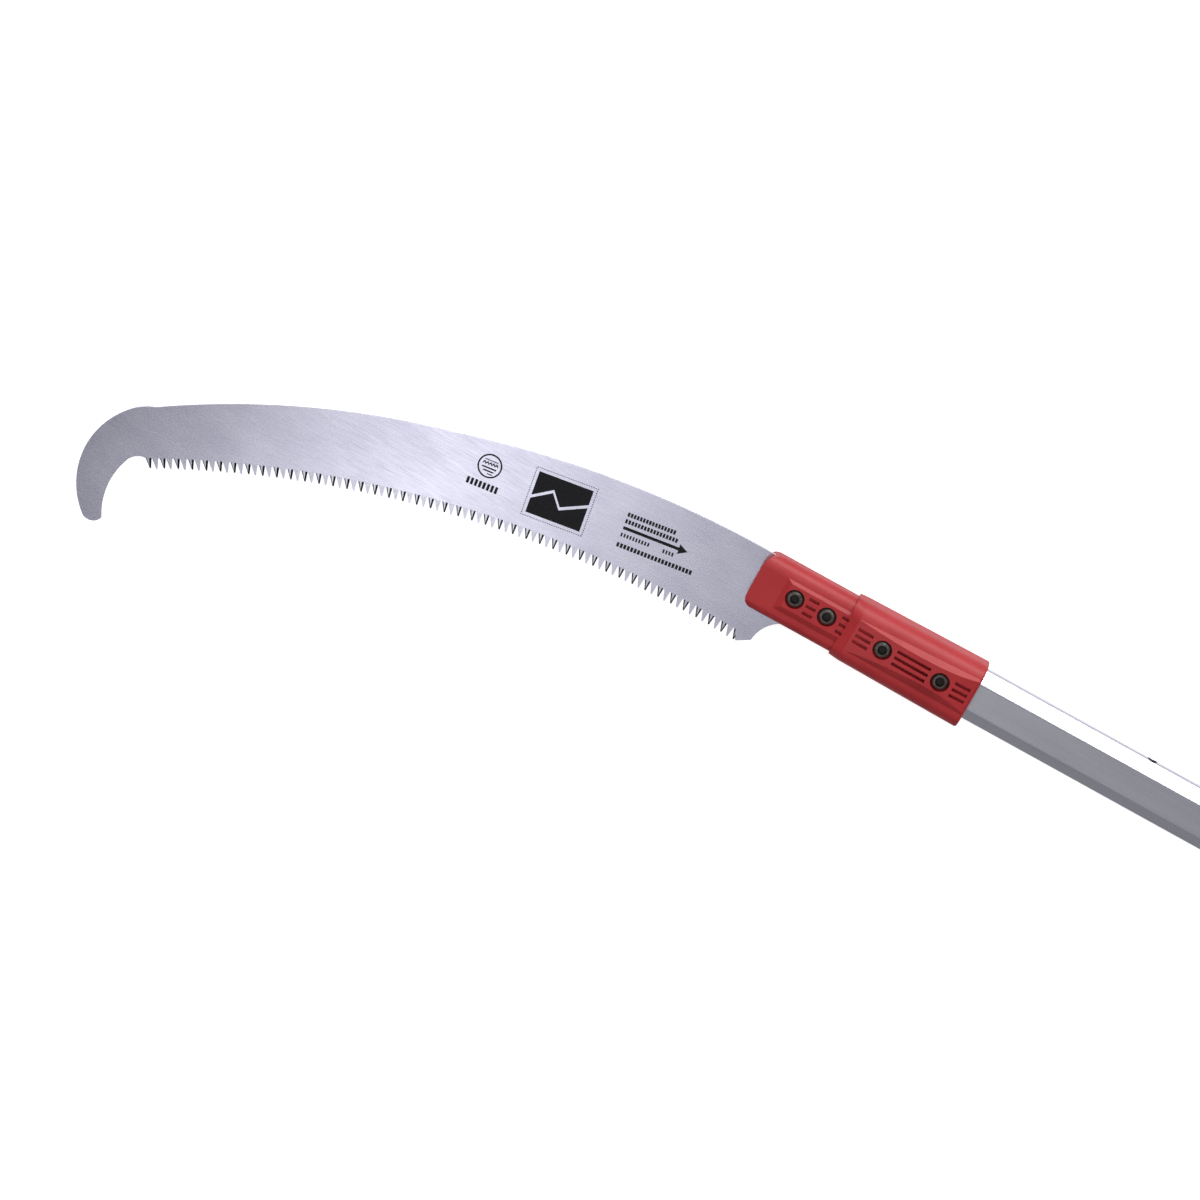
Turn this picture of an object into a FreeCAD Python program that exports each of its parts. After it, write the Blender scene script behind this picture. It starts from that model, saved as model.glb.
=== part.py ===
import FreeCAD, Part
import math
import os

# Telescoping pole saw, in millimetres, lying flat.
# While it is drawn, x runs along the pole from the blade to the butt with x = 0 near the
# head's rear end, y points to the blade's spine, and z = 0 is the blade's mid-plane.
# The last step moves every piece, so that the origin is under the middle of the whole saw.

doc = FreeCAD.newDocument("TelescopingPoleSaw")

DIMENSIONS = (
    # alias, value, what it sets
    ("pole_width", 32.0, "upper tube across its two narrow faces"),
    ("pole_depth", 20.0, "upper tube across its two wide faces"),
    ("pole_corner_cut", 7.5, "leg of the tube's 45 degree corner faces"),
    ("pole_corner_round", 2.5, "outer rounding where the tube's faces meet"),
    ("tube_wall", 1.5, "wall of all three tubes"),
    ("tube_gap", 0.5, "gap between one tube and the next, on each side"),
    ("upper_tube_length", 1000.0, "upper tube along the pole"),
    ("middle_tube_length", 1000.0, "middle tube along the pole"),
    ("lower_tube_length", 1000.0, "lower tube along the pole"),
    ("index_hole_radius", 3.0, "holes of the two inner tubes for the index pins"),
    ("index_pitch", 100.0, "distance between index holes"),
    ("first_index_hole", 104.8, "first index hole of the upper tube, from x = 0"),
    ("upper_hole_count", 8.0, "index holes of the upper tube"),
    ("middle_hole_count", 7.0, "index holes of the middle tube"),
    ("bush_spigot", 22.0, "part of a guide bush inside its tube"),
    ("bush_flange", 12.0, "part of a guide bush behind its tube"),
    ("bush_bore", 4.5, "radius of the air hole in a guide bush"),
    ("running_gap", 0.3, "gap of a piece that slides in a tube"),
    ("seat_gap", 0.1, "gap between fixed pieces that fit together"),
    ("pin_gap", 0.05, "running clearance of a pin in its bore"),
    ("blade_thickness", 1.5, "plate of the blade"),
    ("blade_reach", 372.0, "from the head's front end to the far side of the hook"),
    ("tooth_pitch", 4.1, "distance between teeth"),
    ("tooth_depth", 6.0, "gaps between teeth, from the tips to the roots"),
    ("tang_half_height", 13.0, "half the height of the tang's rear end"),
    ("tang_end_gap", 0.7, "tang's rear end behind the head's step"),
    ("head_rear", -2.0, "rear end of the head"),
    ("rear_section_length", 83.0, "thick rear section of the head, round the tube"),
    ("front_section_length", 57.0, "thin front section of the head, round the tang"),
    ("head_drop", 0.9, "head's middle below the pole's, towards the teeth"),
    ("front_half_height", 17.25, "half the front section's height"),
    ("front_half_depth", 10.6, "half the front section's thickness"),
    ("front_top_round", 8.0, "front section's long edges on the spine's side"),
    ("front_low_round", 5.0, "front section's long edges on the teeth's side"),
    ("nose_top_round", 9.0, "front corner on the spine's side"),
    ("nose_low_round", 7.0, "front corner on the teeth's side"),
    ("head_edge_wall", 2.6, "rear section's wall over the tube's narrow faces"),
    ("head_flat_wall", 5.3, "rear section's wall over the tube's wide faces"),
    ("head_flare", 1.1, "growth of the rear section's half height, to the rear"),
    ("rear_top_round", 10.5, "rear section's long edges on the spine's side"),
    ("rear_low_round", 7.5, "rear section's long edges on the teeth's side"),
    ("step_ramp_length", 6.0, "ramp behind the step between the two sections"),
    ("step_ramp_drop", 2.7, "how far that ramp comes down at the step"),
    ("head_rim_round", 1.2, "rounding of the head's rear rim"),
    ("front_land_rise", 1.4, "screw land above the front section"),
    ("front_land_width", 14.6, "width of that land's top"),
    ("front_land_inset", 20.0, "front end of that land behind the head's front end"),
    ("rear_land_rise", 2.7, "crest of the screw land above the rear section"),
    ("rear_land_width", 12.6, "width of that land's top"),
    ("rear_land_crest", 26.0, "crest of that land in front of the head's rear end"),
    ("groove_width", 1.9, "grip grooves between the screws"),
    ("front_groove_depth", 2.6, "grooves of the front section below its land"),
    ("rear_groove_depth", 4.4, "grooves of the rear section below its land's crest"),
    ("groove_gap", 2.2, "from a counterbore to the nearest groove"),
    ("tube_setback", 10.0, "front end of the upper tube behind the head's step"),
    ("core_setback", 1.0, "front end of the tube's core behind the tube's"),
    ("core_past_screw", 8.7, "core's rear end behind the last pole screw"),
    ("blade_screw_inset", 25.3, "first blade screw behind the head's front end"),
    ("blade_screw_spacing", 20.6, "distance between the two blade screws"),
    ("pole_screw_inset", 20.7, "last pole screw in front of the head's rear end"),
    ("pole_screw_spacing", 37.1, "distance between the two pole screws"),
    ("screw_radius", 3.0, "M6 shank"),
    ("screw_clearance", 0.2, "gap round the shank in its hole"),
    ("screw_head_radius", 5.25, "M6 button head"),
    ("screw_head_height", 3.3, "M6 button head"),
    ("screw_head_clearance", 0.4, "gap round the head in its counterbore"),
    ("screw_recess", 0.2, "screw head below its land"),
    ("socket_flats", 5.0, "hex socket across its flats"),
    ("socket_depth", 2.2, "hex socket in the screw's head"),
    ("nut_flats", 10.0, "M6 nut across its flats"),
    ("nut_height", 5.0, "M6 nut along the screw"),
    ("nut_recess", 0.5, "nut below its land"),
    ("clamp_length", 34.0, "part of a collar in front of its own tube"),
    ("sleeve_length", 52.0, "part of a collar over its own tube"),
    ("collar_wall", 4.0, "collar's wall over its own tube"),
    ("collar_slide_gap", 0.35, "collar's gap over the tube that slides in it"),
    ("collar_spacing", 14.0, "gap between the two collars when closed up"),
    ("collar_end_round", 1.5, "rounding of the collar's two ends"),
    ("clamp_slit", 3.0, "width of the slit through the clamp"),
    ("ear_reach", 15.0, "clamp ears beyond the collar's side"),
    ("ear_length", 24.0, "clamp ears along the pole"),
    ("ear_inset", 5.0, "ears' lower face above the collar's"),
    ("rivet_radius", 2.0, "rivets that hold a collar on its tube"),
    ("rivet_inset", 14.0, "first rivet behind the tube's front end"),
    ("rivet_spacing", 24.0, "distance between the two rivets"),
    ("bolt_radius", 2.5, "M5 clamp bolt"),
    ("bolt_clearance", 0.2, "gap round the clamp bolt in the ears"),
    ("bolt_nut_flats", 8.0, "M5 nut across its flats"),
    ("bolt_nut_height", 4.0, "M5 nut along the bolt"),
    ("bolt_end_inset", 0.4, "bolt's end inside its nut"),
    ("eye_radius", 4.4, "eye of the clamp bolt"),
    ("eye_length", 6.4, "eye along the pole"),
    ("eye_clearance", 1.2, "gap round the eye in the lever's slot"),
    ("lever_pin_radius", 2.0, "cross pin of the lever"),
    ("lever_width", 18.0, "lever along the pole"),
    ("lever_thickness", 4.0, "arm of the lever"),
    ("lever_overhang", 16.0, "lever's tip past the pole's axis"),
    ("lever_tip_round", 5.0, "corners of the lever's tip"),
    ("lever_lip", 3.0, "rise of the lever's tip for a finger"),
    ("cam_radius", 6.0, "cam of the lever"),
    ("cam_offset", 0.8, "cam's middle from its pin"),
    ("lever_gap", 1.0, "gap under the closed lever's arm"),
    ("index_clearance", 0.1, "gap round an index pin in a hole"),
    ("index_travel", 3.6, "way of the pin from riding clear to engaged"),
    ("pin_clearance", 0.5, "gap between the raised pin and the tube"),
    ("boss_radius", 7.0, "boss that holds the index pin"),
    ("boss_height", 13.0, "boss above the collar's side"),
    ("chamber_radius", 5.0, "spring chamber in the boss"),
    ("guide_height", 3.0, "land that guides the pin's tip"),
    ("spring_wire", 0.8, "diameter of the spring's wire"),
    ("spring_cap_depth", 3.0, "part of the spring cap inside the boss"),
    ("spring_cap_rim", 1.0, "part of the spring cap on top of the boss"),
    ("grip_length", 240.0, "rubber sleeve along the pole"),
    ("grip_wall", 3.0, "wall of the rubber sleeve"),
    ("cap_wall", 4.1, "butt cap's wall over the lower tube"),
    ("cap_cup", 18.0, "part of the butt cap over the tube"),
    ("cap_end", 20.0, "solid end of the butt cap"),
    ("cap_plug", 30.0, "part of the butt cap inside the tube"),
    ("cap_round", 3.0, "rounding of the butt cap's end"),
    ("hang_hole_radius", 4.0, "hanging hole through the butt cap"),
)

sheet = doc.addObject("Spreadsheet::Sheet", "Sizes")
for row, (alias, value, note) in enumerate(DIMENSIONS, start=1):
    sheet.set(f"A{row}", str(value))
    sheet.setAlias(f"A{row}", alias)
    sheet.set(f"B{row}", note)
doc.recompute()

nodes = []


def size(alias):
    """A driving dimension, read from the sheet."""
    return float(sheet.get(alias))


def vector(x, y, z=0.0):
    return FreeCAD.Vector(x, y, z)


# ---- outlines -------------------------------------------------------------------------


def line(start, end):
    return Part.LineSegment(start, end)


def arc(start, middle, end):
    return Part.ArcOfCircle(start, middle, end)


def rounded_outline(corners, radii):
    """Closed outline through the corners, each rounded by its own radius."""
    points = [vector(*corner) for corner in corners]
    starts, middles, ends = [], [], []
    for index, point in enumerate(points):
        back = (points[index - 1] - point).normalize()
        ahead = (points[(index + 1) % len(points)] - point).normalize()
        half_angle = back.getAngle(ahead) / 2
        tangent = radii[index] / math.tan(half_angle)
        bisector = (back + ahead).normalize()
        to_arc = radii[index] / math.sin(half_angle) - radii[index]
        starts.append(point + back * tangent)
        middles.append(point + bisector * to_arc)
        ends.append(point + ahead * tangent)
    edges = []
    for index in range(len(points)):
        if radii[index] > 0:
            edges.append(arc(starts[index], middles[index], ends[index]))
        edges.append(line(ends[index], starts[(index + 1) % len(points)]))
    return edges


def polygon(corners):
    return rounded_outline(corners, [0] * len(corners))


def rectangle(low_x, low_y, high_x, high_y):
    return polygon([(low_x, low_y), (high_x, low_y), (high_x, high_y), (low_x, high_y)])


def circle(x, y, radius):
    return [Part.Circle(vector(x, y), vector(0, 0, 1), radius)]


def hexagon(x, y, flats):
    reach = flats / math.sqrt(3)
    turns = [math.radians(60 * corner) for corner in range(6)]
    return polygon([(x + reach * math.cos(turn), y + reach * math.sin(turn)) for turn in turns])


def pole_section(growth):
    """The pole's long octagon, grown or shrunk evenly, in y and z."""
    half_width = size("pole_width") / 2 + growth
    half_depth = size("pole_depth") / 2 + growth
    cut = size("pole_corner_cut") + growth * (2 - math.sqrt(2))
    narrow_face = 2 * (half_depth - cut)
    radius = min(size("pole_corner_round") + growth, narrow_face)
    corners = [
        (half_width, half_depth - cut),
        (half_width - cut, half_depth),
        (cut - half_width, half_depth),
        (-half_width, half_depth - cut),
        (-half_width, cut - half_depth),
        (cut - half_width, -half_depth),
        (half_width - cut, -half_depth),
        (half_width, cut - half_depth),
    ]
    return rounded_outline(corners, [radius] * 8)


# ---- features -------------------------------------------------------------------------


def new_body(label):
    """A body that is one sub-part of the saw."""
    body = doc.addObject("PartDesign::Body", label)
    body.Label = label
    return body


def finish(body):
    """Counts a finished sub-part as a node."""
    doc.recompute()
    nodes.append(body)
    return body


def add_sketch(body, plane, edges, along=0.0, origin=(0.0, 0.0)):
    """A sketch on one of the body's own planes, moved along that plane's normal."""
    sketch = body.newObject("Sketcher::SketchObject", body.Name + "Sketch")
    support = [item for item in body.Origin.OriginFeatures if item.Role == plane][0]
    sketch.AttachmentSupport = [(support, "")]
    sketch.MapMode = "FlatFace"
    sketch.AttachmentOffset = FreeCAD.Placement(vector(*origin, along), FreeCAD.Rotation())
    sketch.addGeometry(edges, False)
    return sketch


def pad(body, sketch, length, both_ways=False, backwards=False):
    """Adds material along the sketch's normal; length is an expression."""
    feature = body.newObject("PartDesign::Pad", body.Name + "Pad")
    feature.Profile = sketch
    feature.SideType = "Symmetric" if both_ways else "One side"
    feature.Reversed = backwards
    feature.setExpression("Length", length)
    doc.recompute()
    return feature


def pocket(body, sketch, way, length=None):
    """Cuts from the sketch along its normal (up), against it (down) or both ways."""
    before = body.Shape.Volume
    feature = body.newObject("PartDesign::Pocket", body.Name + "Pocket")
    feature.Profile = sketch
    feature.SideType = "Symmetric" if way == "both" else "One side"
    feature.Reversed = way == "up"
    if length is None:
        feature.Type = "ThroughAll"
    else:
        feature.setExpression("Length", length)
    doc.recompute()
    if body.Shape.Volume > before - 0.01:
        raise ValueError("a pocket in " + body.Label + " cuts nothing")
    return feature


def cross_holes(body, places, radius, way="both"):
    """Round holes along z, at these places on the x axis."""
    holes = []
    for x in places:
        holes += circle(x, 0, radius)
    pocket(body, add_sketch(body, "XY_Plane", holes), way)


def loft(body, sketches):
    feature = body.newObject("PartDesign::AdditiveLoft", body.Name + "Loft")
    feature.Profile = sketches[0]
    feature.Sections = sketches[1:]
    feature.Ruled = True
    doc.recompute()
    return feature


def revolve(body, sketch, axis):
    feature = body.newObject("PartDesign::Revolution", body.Name + "Revolution")
    feature.Profile = sketch
    feature.ReferenceAxis = (sketch, [axis])
    feature.Angle = 360
    doc.recompute()
    return feature


def round_edges(body, radius, chosen):
    """Rounds the edges for which chosen(edge) is true; radius is an expression."""
    base = body.Tip
    names = [f"Edge{i}" for i, edge in enumerate(base.Shape.Edges, start=1) if chosen(edge)]
    feature = body.newObject("PartDesign::Fillet", body.Name + "Fillet")
    feature.Base = (base, names)
    feature.setExpression("Radius", radius)
    doc.recompute()
    return feature


def repeat_along(body, feature, count, length):
    """Repeats a feature along x."""
    pattern = body.newObject("PartDesign::LinearPattern", body.Name + "Pattern")
    pattern.Originals = [feature]
    axis = [item for item in body.Origin.OriginFeatures if item.Role == "X_Axis"][0]
    pattern.Direction = (axis, [""])
    pattern.setExpression("Occurrences", count)
    pattern.setExpression("Length", length)
    body.Tip = pattern
    doc.recompute()
    return pattern


def add_group(label, pieces):
    """One node that holds several identical loose pieces."""
    group = doc.addObject("Part::Feature", label)
    group.Label = label
    group.Shape = Part.makeCompound(pieces)
    nodes.append(group)


def copies(body, moves):
    """The body's solid, once for each move."""
    return [body.Shape.translated(move) for move in moves]


# ---- places that several pieces share ------------------------------------------------

head_rear = size("head_rear")
head_step = head_rear - size("rear_section_length")
head_front = head_step - size("front_section_length")
tube_front = head_step + size("tube_setback")
growth_per_tube = size("tube_gap") + size("tube_wall")
rear_half_height = size("pole_width") / 2 + size("head_edge_wall")
rear_half_depth = size("pole_depth") / 2 + size("head_flat_wall")
front_land = size("front_half_depth") + size("front_land_rise")
rear_land = rear_half_depth + size("rear_land_rise")
first_blade_screw = head_front + size("blade_screw_inset")
blade_screws = (first_blade_screw, first_blade_screw + size("blade_screw_spacing"))
last_pole_screw = head_rear - size("pole_screw_inset")
pole_screws = (last_pole_screw - size("pole_screw_spacing"), last_pole_screw)
screw_hole = size("screw_radius") + size("screw_clearance")
counterbore = size("screw_head_radius") + size("screw_head_clearance")
rivet_hole = size("rivet_radius") + size("pin_gap")
index_pin = size("index_hole_radius") - size("index_clearance")

# The upper tube stands one hole out from closed; the middle tube is closed up.
upper_pin_x = size("first_index_hole") + size("index_pitch")
middle_front = upper_pin_x + size("clamp_length") / 2
upper_collar_end = middle_front + size("sleeve_length")
lower_front = upper_collar_end + size("collar_spacing") + size("clamp_length")
lower_pin_x = lower_front - size("clamp_length") / 2
lower_rear = lower_front + size("lower_tube_length")


# ---- blade ---------------------------------------------------------------------------


DRAWN_REACH = 372.0
TOOTH_TIPS = ((335, -120.5), (181, -59.8), (-7.5, -40.9))
HEEL = (-15.3, -36.1)
SPINE_ROOT_Y = 14.8


def on_blade(reach, y):
    """A point of the blade, from the head's front end; only the free part stretches."""
    stretch = size("blade_reach") / DRAWN_REACH if reach > 0 else 1.0
    return vector(head_front - reach * stretch, y)


# The notch behind the heel is a quarter circle that ends at the tang's lower edge.
notch_centre = vector(head_front + 36.1, -37.6)
heel_from_notch = on_blade(*HEEL) - notch_centre
notch_radius = heel_from_notch.Length
tang_end = head_step + size("tang_end_gap")


def blade_outline():
    """Spine, hook, tooth line, heel, notch and tang."""
    heel = on_blade(*HEEL)
    mid_turn = (math.atan2(heel_from_notch.y, heel_from_notch.x) + math.pi / 2) / 2
    towards_middle = vector(math.cos(mid_turn), math.sin(mid_turn))
    notch_middle = notch_centre + towards_middle * notch_radius
    top_of_notch = notch_centre + vector(0, notch_radius)
    tang_low = vector(tang_end, -size("tang_half_height"))
    tang_high = vector(tang_end, size("tang_half_height"))
    spine_root = on_blade(0, SPINE_ROOT_Y)
    shoulder = on_blade(188, -13.1)
    bow = on_blade(346, -85.8)
    crown = on_blade(361.5, -97.5)
    hook_back = on_blade(355.5, -163.0)
    hook_front = on_blade(344.8, -159.5)
    throat = on_blade(347.1, -122.2)
    first_root = on_blade(339.7, -116.6)
    first_tip, middle_tip, last_tip = [on_blade(*place) for place in TOOTH_TIPS]
    return [
        line(tang_low, tang_high),
        line(tang_high, spine_root),
        arc(spine_root, on_blade(94, 8.3), shoulder),
        arc(shoulder, on_blade(268, -41.9), bow),
        arc(bow, on_blade(354.8, -90.6), crown),
        arc(crown, on_blade(371.9, -127), hook_back),
        arc(hook_back, on_blade(349, -163.8), hook_front),
        arc(hook_front, on_blade(350.3, -139), throat),
        arc(throat, on_blade(344, -117.6), first_root),
        line(first_root, first_tip),
        arc(first_tip, middle_tip, last_tip),
        line(last_tip, heel),
        arc(heel, notch_middle, top_of_notch),
        line(top_of_notch, tang_low),
    ]


def add_blade():
    body = new_body("blade")
    outline = add_sketch(body, "XY_Plane", blade_outline())
    pad(body, outline, "Sizes.blade_thickness", both_ways=True)
    cross_holes(body, blade_screws, screw_hole)
    cut_teeth(body)
    return finish(body)


def cut_teeth(body):
    """Gaps between the teeth, repeated about the middle of the tooth line's arc."""
    first_tip, middle_tip, last_tip = [on_blade(*place) for place in TOOTH_TIPS]
    tooth_arc = arc(first_tip, middle_tip, last_tip)
    centre = tooth_arc.Center
    radius = tooth_arc.Radius
    sweep = (first_tip - centre).getAngle(last_tip - centre)
    pitch_angle = size("tooth_pitch") / radius
    count = int(sweep / pitch_angle) - 1
    start = math.atan2(first_tip.y - centre.y, first_tip.x - centre.x)

    # Shares of a pitch: the first gap's middle, and half its width at the tips and roots.
    first_gap_at, half_open, half_root = 0.62, 0.48, 0.07
    past_tips = -1.0

    def polar(outwards, along):
        turn = start - pitch_angle * (first_gap_at + along)
        reach = radius + outwards
        return (reach * math.cos(turn), reach * math.sin(turn))

    gap = polygon([
        polar(past_tips, -half_open),
        polar(size("tooth_depth"), -half_root),
        polar(size("tooth_depth"), half_root),
        polar(past_tips, half_open),
    ])
    sketch = add_sketch(body, "XY_Plane", gap, origin=(centre.x, centre.y))
    first_gap = pocket(body, sketch, "both")
    pattern = body.newObject("PartDesign::PolarPattern", "ToothPattern")
    pattern.Originals = [first_gap]
    pattern.Axis = (sketch, ["N_Axis"])
    pattern.Reversed = True
    pattern.Angle = math.degrees(pitch_angle) * (count - 1)
    pattern.Occurrences = count
    body.Tip = pattern
    doc.recompute()


# ---- head ----------------------------------------------------------------------------


def shell_section(half_height, half_depth, top_round, low_round, side):
    """Half of the head's cross-section, on one side of the blade's plane."""
    top = half_height - size("head_drop")
    low = -half_height - size("head_drop")
    corners = [(low, 0), (low, side * half_depth), (top, side * half_depth), (top, 0)]
    return rounded_outline(corners, [0, low_round, top_round, 0])


def round_nose(body):
    """Rounds the two front corners of the head, seen from the side."""
    half_height = size("front_half_height")
    top = half_height - size("head_drop")
    low = -half_height - size("head_drop")
    outside = 2.0
    for edge_y, radius, way in ((top, size("nose_top_round"), 1), (low, size("nose_low_round"), -1)):
        corner = vector(head_front, edge_y)
        on_front = corner - vector(0, way * radius)
        on_side = corner + vector(radius, 0)
        middle = corner + vector(radius, -way * radius) * (1 - math.sqrt(0.5))
        over_side = on_side + vector(0, way * outside)
        over_corner = corner + vector(-outside, way * outside)
        over_front = on_front - vector(outside, 0)
        outline = [
            arc(on_front, middle, on_side),
            line(on_side, over_side),
            line(over_side, over_corner),
            line(over_corner, over_front),
            line(over_front, on_front),
        ]
        pocket(body, add_sketch(body, "XY_Plane", outline), "both")


def add_shell_blank(body, side):
    """The two stepped sections of one half of the head."""
    section = shell_section(
        size("front_half_height"), size("front_half_depth"),
        size("front_top_round"), size("front_low_round"), side,
    )
    sketch = add_sketch(body, "YZ_Plane", section, along=head_front)
    pad(body, sketch, "Sizes.front_section_length + 1")
    round_nose(body)
    top_round = size("rear_top_round")
    step_round = top_round - 1.5
    ramp_end = head_step + size("step_ramp_length")
    low_depth = rear_half_depth - size("step_ramp_drop")
    stations = (
        (head_step, rear_half_height, low_depth, step_round),
        (ramp_end, rear_half_height, rear_half_depth, top_round),
        (head_rear, rear_half_height + size("head_flare"), rear_half_depth, top_round),
    )
    sections = []
    for x, height, depth, round_here in stations:
        outline = shell_section(height, depth, round_here, size("rear_low_round"), side)
        sections.append(add_sketch(body, "YZ_Plane", outline, along=x))
    loft(body, sections)


BURIED = 1.0  # how far a land starts below the surface that it stands on


def add_land(body, side, ends, width, levels, spread, front_run, widening=0.0):
    """A raised land with sloped sides, where the screws sit.

    Per mm of height, its foot spreads by spread on the spine's side and on the teeth's side,
    and runs out by front_run in front. Widening moves the spine's side out towards the rear.
    """
    low_x, high_x = ends
    base, top = levels
    spine_spread, teeth_spread = spread
    sketches = []
    for level, depth in ((base, top - base), (top, 0.0)):
        spine_edge = width / 2 + depth * spine_spread
        teeth_edge = -width / 2 - depth * teeth_spread
        rear_edge = spine_edge + widening
        outline = polygon([
            (low_x - depth * front_run, teeth_edge),
            (high_x, teeth_edge),
            (high_x, rear_edge),
            (low_x - depth * front_run, spine_edge),
        ])
        sketches.append(add_sketch(body, "XY_Plane", outline, along=side * level))
    loft(body, sketches)


LAND_MARGIN = 0.2  # from the end of the step's ramp to the rear land
rear_land_start = head_step + size("step_ramp_length") + LAND_MARGIN
rear_land_ends = (rear_land_start, head_rear - size("head_rim_round"))
crest_x = head_rear - size("rear_land_crest")
REAR_END_DROP = 2.1  # the land's rear end below its crest


def crest_level(x):
    """Height of the rear land's top, which is two arcs that meet level at its crest."""
    front_run, rear_run = crest_x - rear_land_ends[0], rear_land_ends[1] - crest_x
    run, drop = (front_run, size("rear_land_rise")) if x < crest_x else (rear_run, REAR_END_DROP)
    radius = (run ** 2 + drop ** 2) / (2 * drop)
    return rear_land - radius + math.sqrt(radius ** 2 - (x - crest_x) ** 2)


def add_lands(body, side):
    front_ends = (head_front + size("front_land_inset"), head_step + BURIED)
    levels = (size("front_half_depth") - BURIED, front_land)
    add_land(body, side, front_ends, size("front_land_width"), levels, (1.2, 2.4), 2.5)
    levels = (rear_half_depth - BURIED, rear_land)
    add_land(body, side, rear_land_ends, size("rear_land_width"), levels, (1.0, 1.75), 0.0, 2.4)
    # Above the crest's two arcs, the rear land is cut away.
    start_x, end_x = rear_land_ends
    above = rear_land + 2
    places = (start_x, (start_x + crest_x) / 2, crest_x, (crest_x + end_x) / 2, end_x)
    start, rising, crest, falling, end = [vector(x, side * crest_level(x)) for x in places]
    over_start, over_end = vector(start_x, side * above), vector(end_x, side * above)
    outline = [
        arc(start, rising, crest),
        arc(crest, falling, end),
        line(end, over_end),
        line(over_end, over_start),
        line(over_start, start),
    ]
    pocket(body, add_sketch(body, "XZ_Plane", outline), "both")


# Both pole screws sit at one depth, below the land at the front one of them.
pole_screw_land = crest_level(pole_screws[0])


def groove_rows(low_x, high_x, pitch):
    """Three parallel grooves, centred on the line of screws."""
    half_groove = size("groove_width") / 2
    edges = []
    for row in (-1, 0, 1):
        edges += rectangle(low_x, row * pitch - half_groove, high_x, row * pitch + half_groove)
    return edges


def cut_grooves(body, side):
    """Grip grooves between the screws and at both ends of their row."""
    clear = counterbore + size("groove_gap")
    short_clear = clear - 0.6
    front_pitch, rear_pitch = 4.5, 3.9
    front_run, rear_run = 4.2, 9.5
    front_floor = front_land - size("front_groove_depth")
    rear_floor = rear_land - size("rear_groove_depth")
    first, second = blade_screws
    third, fourth = pole_screws
    front_rows = groove_rows(first + short_clear, second - short_clear, front_pitch)
    front_rows += groove_rows(second + clear, second + clear + front_run, front_pitch)
    rear_rows = groove_rows(third - clear - rear_run, third - clear, rear_pitch)
    rear_rows += groove_rows(third + clear, fourth - clear, rear_pitch)
    rear_rows += groove_rows(fourth + clear, fourth + clear + rear_run, rear_pitch)
    way = "up" if side > 0 else "down"
    for rows, floor in ((front_rows, front_floor), (rear_rows, rear_floor)):
        sketch = add_sketch(body, "XY_Plane", rows, along=side * floor)
        pocket(body, sketch, way, "Sizes.pole_depth")


def cut_shell_inside(body):
    """Room for the blade, the tube and the screws."""
    seat = size("seat_gap")
    half_height = size("tang_half_height") + seat
    end = tang_end + seat
    mouth = head_front - 1
    mouth_low = -30.0
    top_of_notch = notch_centre + vector(0, notch_radius - seat)
    notch_side = notch_centre + vector(-10.0, 18.0 - seat)
    notch_mouth = vector(notch_centre.x - 17.0, mouth_low)
    corners = [
        vector(end, -half_height),
        vector(end, half_height),
        vector(mouth, SPINE_ROOT_Y + 2 * seat),
        vector(mouth, mouth_low),
        notch_mouth,
        notch_side,
        top_of_notch,
    ]
    outline = polygon([(corner.x, corner.y) for corner in corners])
    pocket(body, add_sketch(body, "XY_Plane", outline), "both", "Sizes.blade_thickness + Sizes.seat_gap")
    section = add_sketch(body, "YZ_Plane", pole_section(seat), along=tube_front - seat)
    pocket(body, section, "up")
    cross_holes(body, blade_screws + pole_screws, screw_hole)


def cut_fastener_seats(body, side):
    """Counterbores for the screw heads on the near side, hex pockets on the far side."""
    way = "up" if side > 0 else "down"
    head_depth = size("screw_head_height") + size("screw_recess")
    nut_depth = size("nut_height") + size("nut_recess")
    deep = head_depth if side > 0 else nut_depth
    for places, land in ((blade_screws, front_land), (pole_screws, pole_screw_land)):
        seats = []
        for x in places:
            if side > 0:
                seats += circle(x, 0, counterbore)
            else:
                seats += hexagon(x, 0, size("nut_flats") + 2 * size("seat_gap"))
        sketch = add_sketch(body, "XY_Plane", seats, along=side * (land - deep))
        pocket(body, sketch, way, "Sizes.pole_depth")


def add_head_shell(label, side):
    body = new_body(label)
    add_shell_blank(body, side)

    def on_rear_rim(edge):
        box = edge.BoundBox
        off_the_parting_face = max(abs(box.ZMin), abs(box.ZMax)) > 0.01
        return box.XMin > head_rear - 0.01 and box.YLength + box.ZLength > 0.1 and off_the_parting_face

    round_edges(body, "Sizes.head_rim_round", on_rear_rim)
    add_lands(body, side)
    cut_fastener_seats(body, side)
    cut_grooves(body, side)
    cut_shell_inside(body)
    return finish(body)


def screw_master(label, grip_length):
    """A button-head screw along z, its head's underside at z = 0, its end below."""
    body = new_body(label)
    shank = size("screw_radius")
    head_radius = size("screw_head_radius")
    height = size("screw_head_height")
    rim = 0.9
    flat = head_radius * 0.56
    dome = vector(head_radius * 0.84, height * 0.78)
    outline = [
        line(vector(0, -grip_length), vector(shank, -grip_length)),
        line(vector(shank, -grip_length), vector(shank, 0)),
        line(vector(shank, 0), vector(head_radius, 0)),
        line(vector(head_radius, 0), vector(head_radius, rim)),
        arc(vector(head_radius, rim), dome, vector(flat, height)),
        line(vector(flat, height), vector(0, height)),
        line(vector(0, height), vector(0, -grip_length)),
    ]
    revolve(body, add_sketch(body, "XZ_Plane", outline), "V_Axis")
    socket = add_sketch(body, "XY_Plane", hexagon(0, 0, size("socket_flats")), along=height)
    pocket(body, socket, "down", "Sizes.socket_depth")
    return body


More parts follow.
